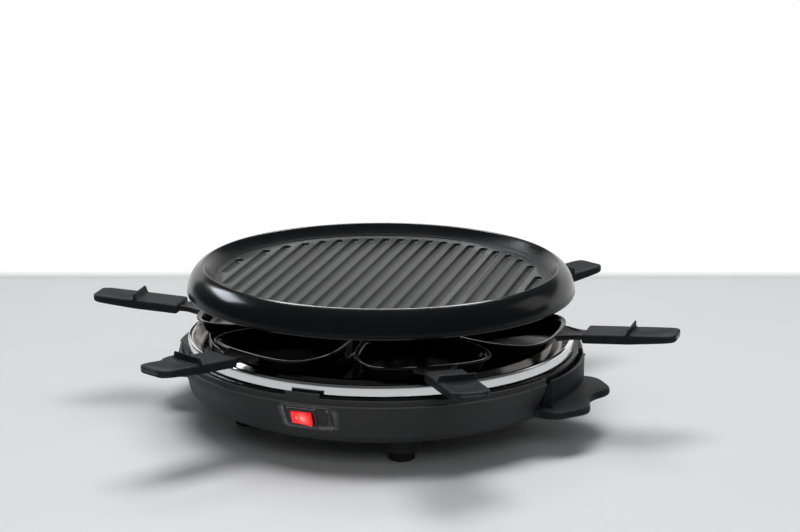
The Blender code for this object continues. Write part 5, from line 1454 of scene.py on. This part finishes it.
def handle_section(share, width_share, fin, hollow):
    """The pan handle's closed section at a share of its length."""
    along = HANDLE_ROOT + HANDLE_LENGTH * share
    half = HANDLE_HALF_WIDTH * width_share
    top = PAN_RIM_Z + HANDLE_ABOVE_PAN + HANDLE_RISE * share
    thickness = HANDLE_THICKNESS + (HANDLE_TIP_THICKNESS - HANDLE_THICKNESS) * max(share - 0.5, 0.0) * 2
    bottom = top - thickness
    end = min(share / HANDLE_END_SHARE, (1.0 - share) / HANDLE_END_SHARE, 1.0)
    drop = HANDLE_END_DROP * (1.0 - end) ** 2
    top, bottom = top - drop, bottom + drop
    rise = FIN_RISE * fin
    lean = FIN_LEAN * fin
    low_round, top_round = HANDLE_LOW_ROUND, HANDLE_TOP_ROUND
    low_edge = arc(half - low_round, bottom + low_round, low_round, -90.0, 0.0, 3)
    points = [(y, z, 0.0) for y, z in low_edge]
    for turn in (0.0, 30.0, 60.0, 90.0):
        reach = polar(top_round, turn)
        up = math.sin(math.radians(turn))
        points.append((half - top_round + reach.x, top - top_round + reach.y + rise * up, lean * up))
    for across in (0.86, 0.80, 0.66, 0.44, 0.22, 0.0, -0.22, -0.44, -0.66, -0.80, -0.86):
        dish = HOLLOW_DEPTH * hollow * max(1.0 - (abs(across) / HOLLOW_SHARE) ** 3, 0.0)
        points.append(((half - top_round) * across, top + rise - dish, lean))
    mirrored = [(-y, z, shift) for y, z, shift in reversed(points[:8])]
    return [(along - shift, y, z) for y, z, shift in points + mirrored]


def make_pans():
    """The six pans with their shanks and handles on their slides; returns their azimuths."""
    parts = (
        ("pan_dish", "pan", pan_sections(), PAN_BLACK, "pan_enamel", 50.0),
        ("shank", "pan_shank", shank_sections(), SHANK_BLACK, "pan_enamel", 38.0),
        ("handle", "pan_handle", [handle_section(*row) for row in HANDLE_ROWS], HANDLE_BLACK,
         "handle_plastic", 48.0),
    )
    azimuths = []
    for number in range(1, 7):
        joint = next(joint for joint in frame["joints"] if joint["name"] == f"pan_{number}_pull")
        azimuth = math.degrees(math.atan2(joint["axis"][1], joint["axis"][0])) % 360.0
        azimuths.append(azimuth)
        for name, node, sections, material, slot, crease in parts:
            shape = moved(skin(sections), spin(azimuth))
            even_shading(finish_piece(f"{name}_{number}", shape, material, f"pan_{number}_set",
                                      (f"{node}_{number}",), crease))
    return azimuths


# Stage and light


def stage_piece(name, shape, material):
    """A piece of the studio, which is no part of the object."""
    mesh = mesh_from(name, shape)
    mesh.materials.append(material)
    add_object(name, mesh)


def make_floor():
    """A plain pale table top."""
    material, tree, shader = start_material("table_top", (0.66, 0.665, 0.68), 0.62, 0.0, 0.3)
    where = place_of(tree)
    tone = remap(tree, noise(tree, where, 1.6, 3.0, 0.5), 0.3, 0.7)
    colour = blend_colour(tree, (0.650, 0.656, 0.672), (tone, (0.675, 0.680, 0.693)))
    tree.links.new(colour, shader.inputs["Base Color"])
    rough = remap(tree, noise(tree, where, 9.0, 4.0, 0.6), 0.3, 0.7, 0.56, 0.68)
    tree.links.new(rough, shader.inputs["Roughness"])
    shape = prism(((-7, -7), (7, -7), (7, 7), (-7, 7)), (-0.02, 0.0))
    bmesh.ops.recalc_face_normals(shape, faces=shape.faces)
    stage_piece("table_top", shape, material)


def seen_rays(tree):
    """1 for camera, glossy and transmission rays."""
    path = tree.nodes.new("ShaderNodeLightPath")
    total = plus(tree, path.outputs["Is Camera Ray"], path.outputs["Is Glossy Ray"])
    return plus(tree, total, path.outputs["Is Transmission Ray"], True)


def mix_shaders(tree, mask, first, second, out):
    """Shows the first shader where the mask is 0 and the second one where it is 1."""
    mix = tree.nodes.new("ShaderNodeMixShader")
    for source, target in zip((mask, first.outputs[0], second.outputs[0]), mix.inputs):
        tree.links.new(source, target)
    tree.links.new(mix.outputs[0], out.inputs["Surface"])


def plain_light(tree, kind, colour, strength):
    """An Emission or a Background node of one colour."""
    node = tree.nodes.new(kind)
    node.inputs["Color"].default_value = (*colour, 1.0)
    node.inputs["Strength"].default_value = strength
    return node


def make_backdrop():
    """A white screen at the table's far edge, seen only from its front."""
    material = bpy.data.materials.new("white_screen")
    material.use_nodes = True
    tree = material.node_tree
    tree.nodes.clear()
    out = tree.nodes.new("ShaderNodeOutputMaterial")
    glow = plain_light(tree, "ShaderNodeEmission", (1.0, 1.0, 1.0), 1.0)
    clear = tree.nodes.new("ShaderNodeBsdfTransparent")
    geometry = tree.nodes.new("ShaderNodeNewGeometry")
    front = calculate(tree, "SUBTRACT", 1.0, geometry.outputs["Backfacing"])
    faded = times(tree, front, remap(tree, split_place(tree)["Z"], 0.0, 0.006))
    mix_shaders(tree, times(tree, seen_rays(tree), faded), clear, glow, out)
    shape = bmesh.new()
    corners = ((-0.45, 0.0), (1.30, 0.0), (1.30, 0.30), (-0.45, 0.30))
    shape.faces.new([shape.verts.new(stage_point(x, SCREEN_BEHIND, z)) for x, z in corners])
    stage_piece("white_screen", shape, material)


def add_softbox(name, place, aim, width, height, power, colour=(1.0, 1.0, 1.0)):
    """A rectangular lamp at a studio point, aimed at another."""
    data = bpy.data.lights.new(name, "AREA")
    data.shape = "RECTANGLE"
    data.size = width
    data.size_y = height
    data.energy = power
    data.color = colour
    lamp = add_object(name, data)
    lamp.location = stage_point(*place)
    lamp.visible_camera = False
    way = lamp.location - stage_point(*aim)
    lamp.rotation_euler = way.to_track_quat("Z", "Y").to_euler()
    return lamp


def make_light():
    """Soft fill from above and in front that gives no glint, a lamp at the right, and two that only shine."""
    middle = (0.0, 0.0, 0.08)
    add_softbox("overhead", (0.05, -0.06, 2.0), (0.0, 0.0, 0.05), 1.7, 0.9, 38.5).visible_glossy = False
    add_softbox("front_fill", (0.1, -2.2, 1.5), middle, 1.6, 1.0, 11.5).visible_glossy = False
    add_softbox("right_lamp", (1.9, 0.55, 0.9), middle, 0.8, 1.0, 2.2)
    for name, place, width, height, power, colour in (
            ("left_shine", (-1.04, 0.57, 0.80), 0.64, 0.34, 10.0, (0.86, 0.93, 1.0)),
            ("top_shine", (-0.02, 1.075, 1.78), 1.5, 0.40, 55.0, (1.0, 1.0, 1.0))):
        shine = add_softbox(name, place, (-0.05, -0.09, 0.12), width, height, power, colour)
        shine.visible_diffuse = False


def make_world():
    """A weak cool glow on the object, and plain white to the camera."""
    world = bpy.data.worlds.new("studio")
    bpy.context.scene.world = world
    world.use_nodes = True
    tree = world.node_tree
    tree.nodes.clear()
    out = tree.nodes.new("ShaderNodeOutputWorld")
    soft = plain_light(tree, "ShaderNodeBackground", (0.96, 0.98, 1.0), 0.085)
    white = plain_light(tree, "ShaderNodeBackground", (1.0, 1.0, 1.0), 1.0)
    path = tree.nodes.new("ShaderNodeLightPath")
    mix_shaders(tree, path.outputs["Is Camera Ray"], soft, white, out)


make_housing()
make_underside()
make_feet()
make_base_screws()
make_grips()
make_switch_panel()
make_switch_case()
make_rocker()
make_ring()
make_reflector()
make_rivets()
make_element()
make_gland()
make_grill_plate()
make_dividers(make_pans())
for strip in range(1, 4):
    dress_node(f"plate_support_{strip}", BLACK_STEEL, 0.0003)
dress_node("terminal_block", CERAMIC, 0.0004)
dress_node("thermal_cutout", ZINC_STEEL)
dress_node("switch_lead", LEAD_SLEEVE)
dress_node("inlet_lead", LEAD_SLEEVE)
make_floor()
make_backdrop()
make_light()
make_world()

bpy.context.scene.view_settings.view_transform = "Standard"
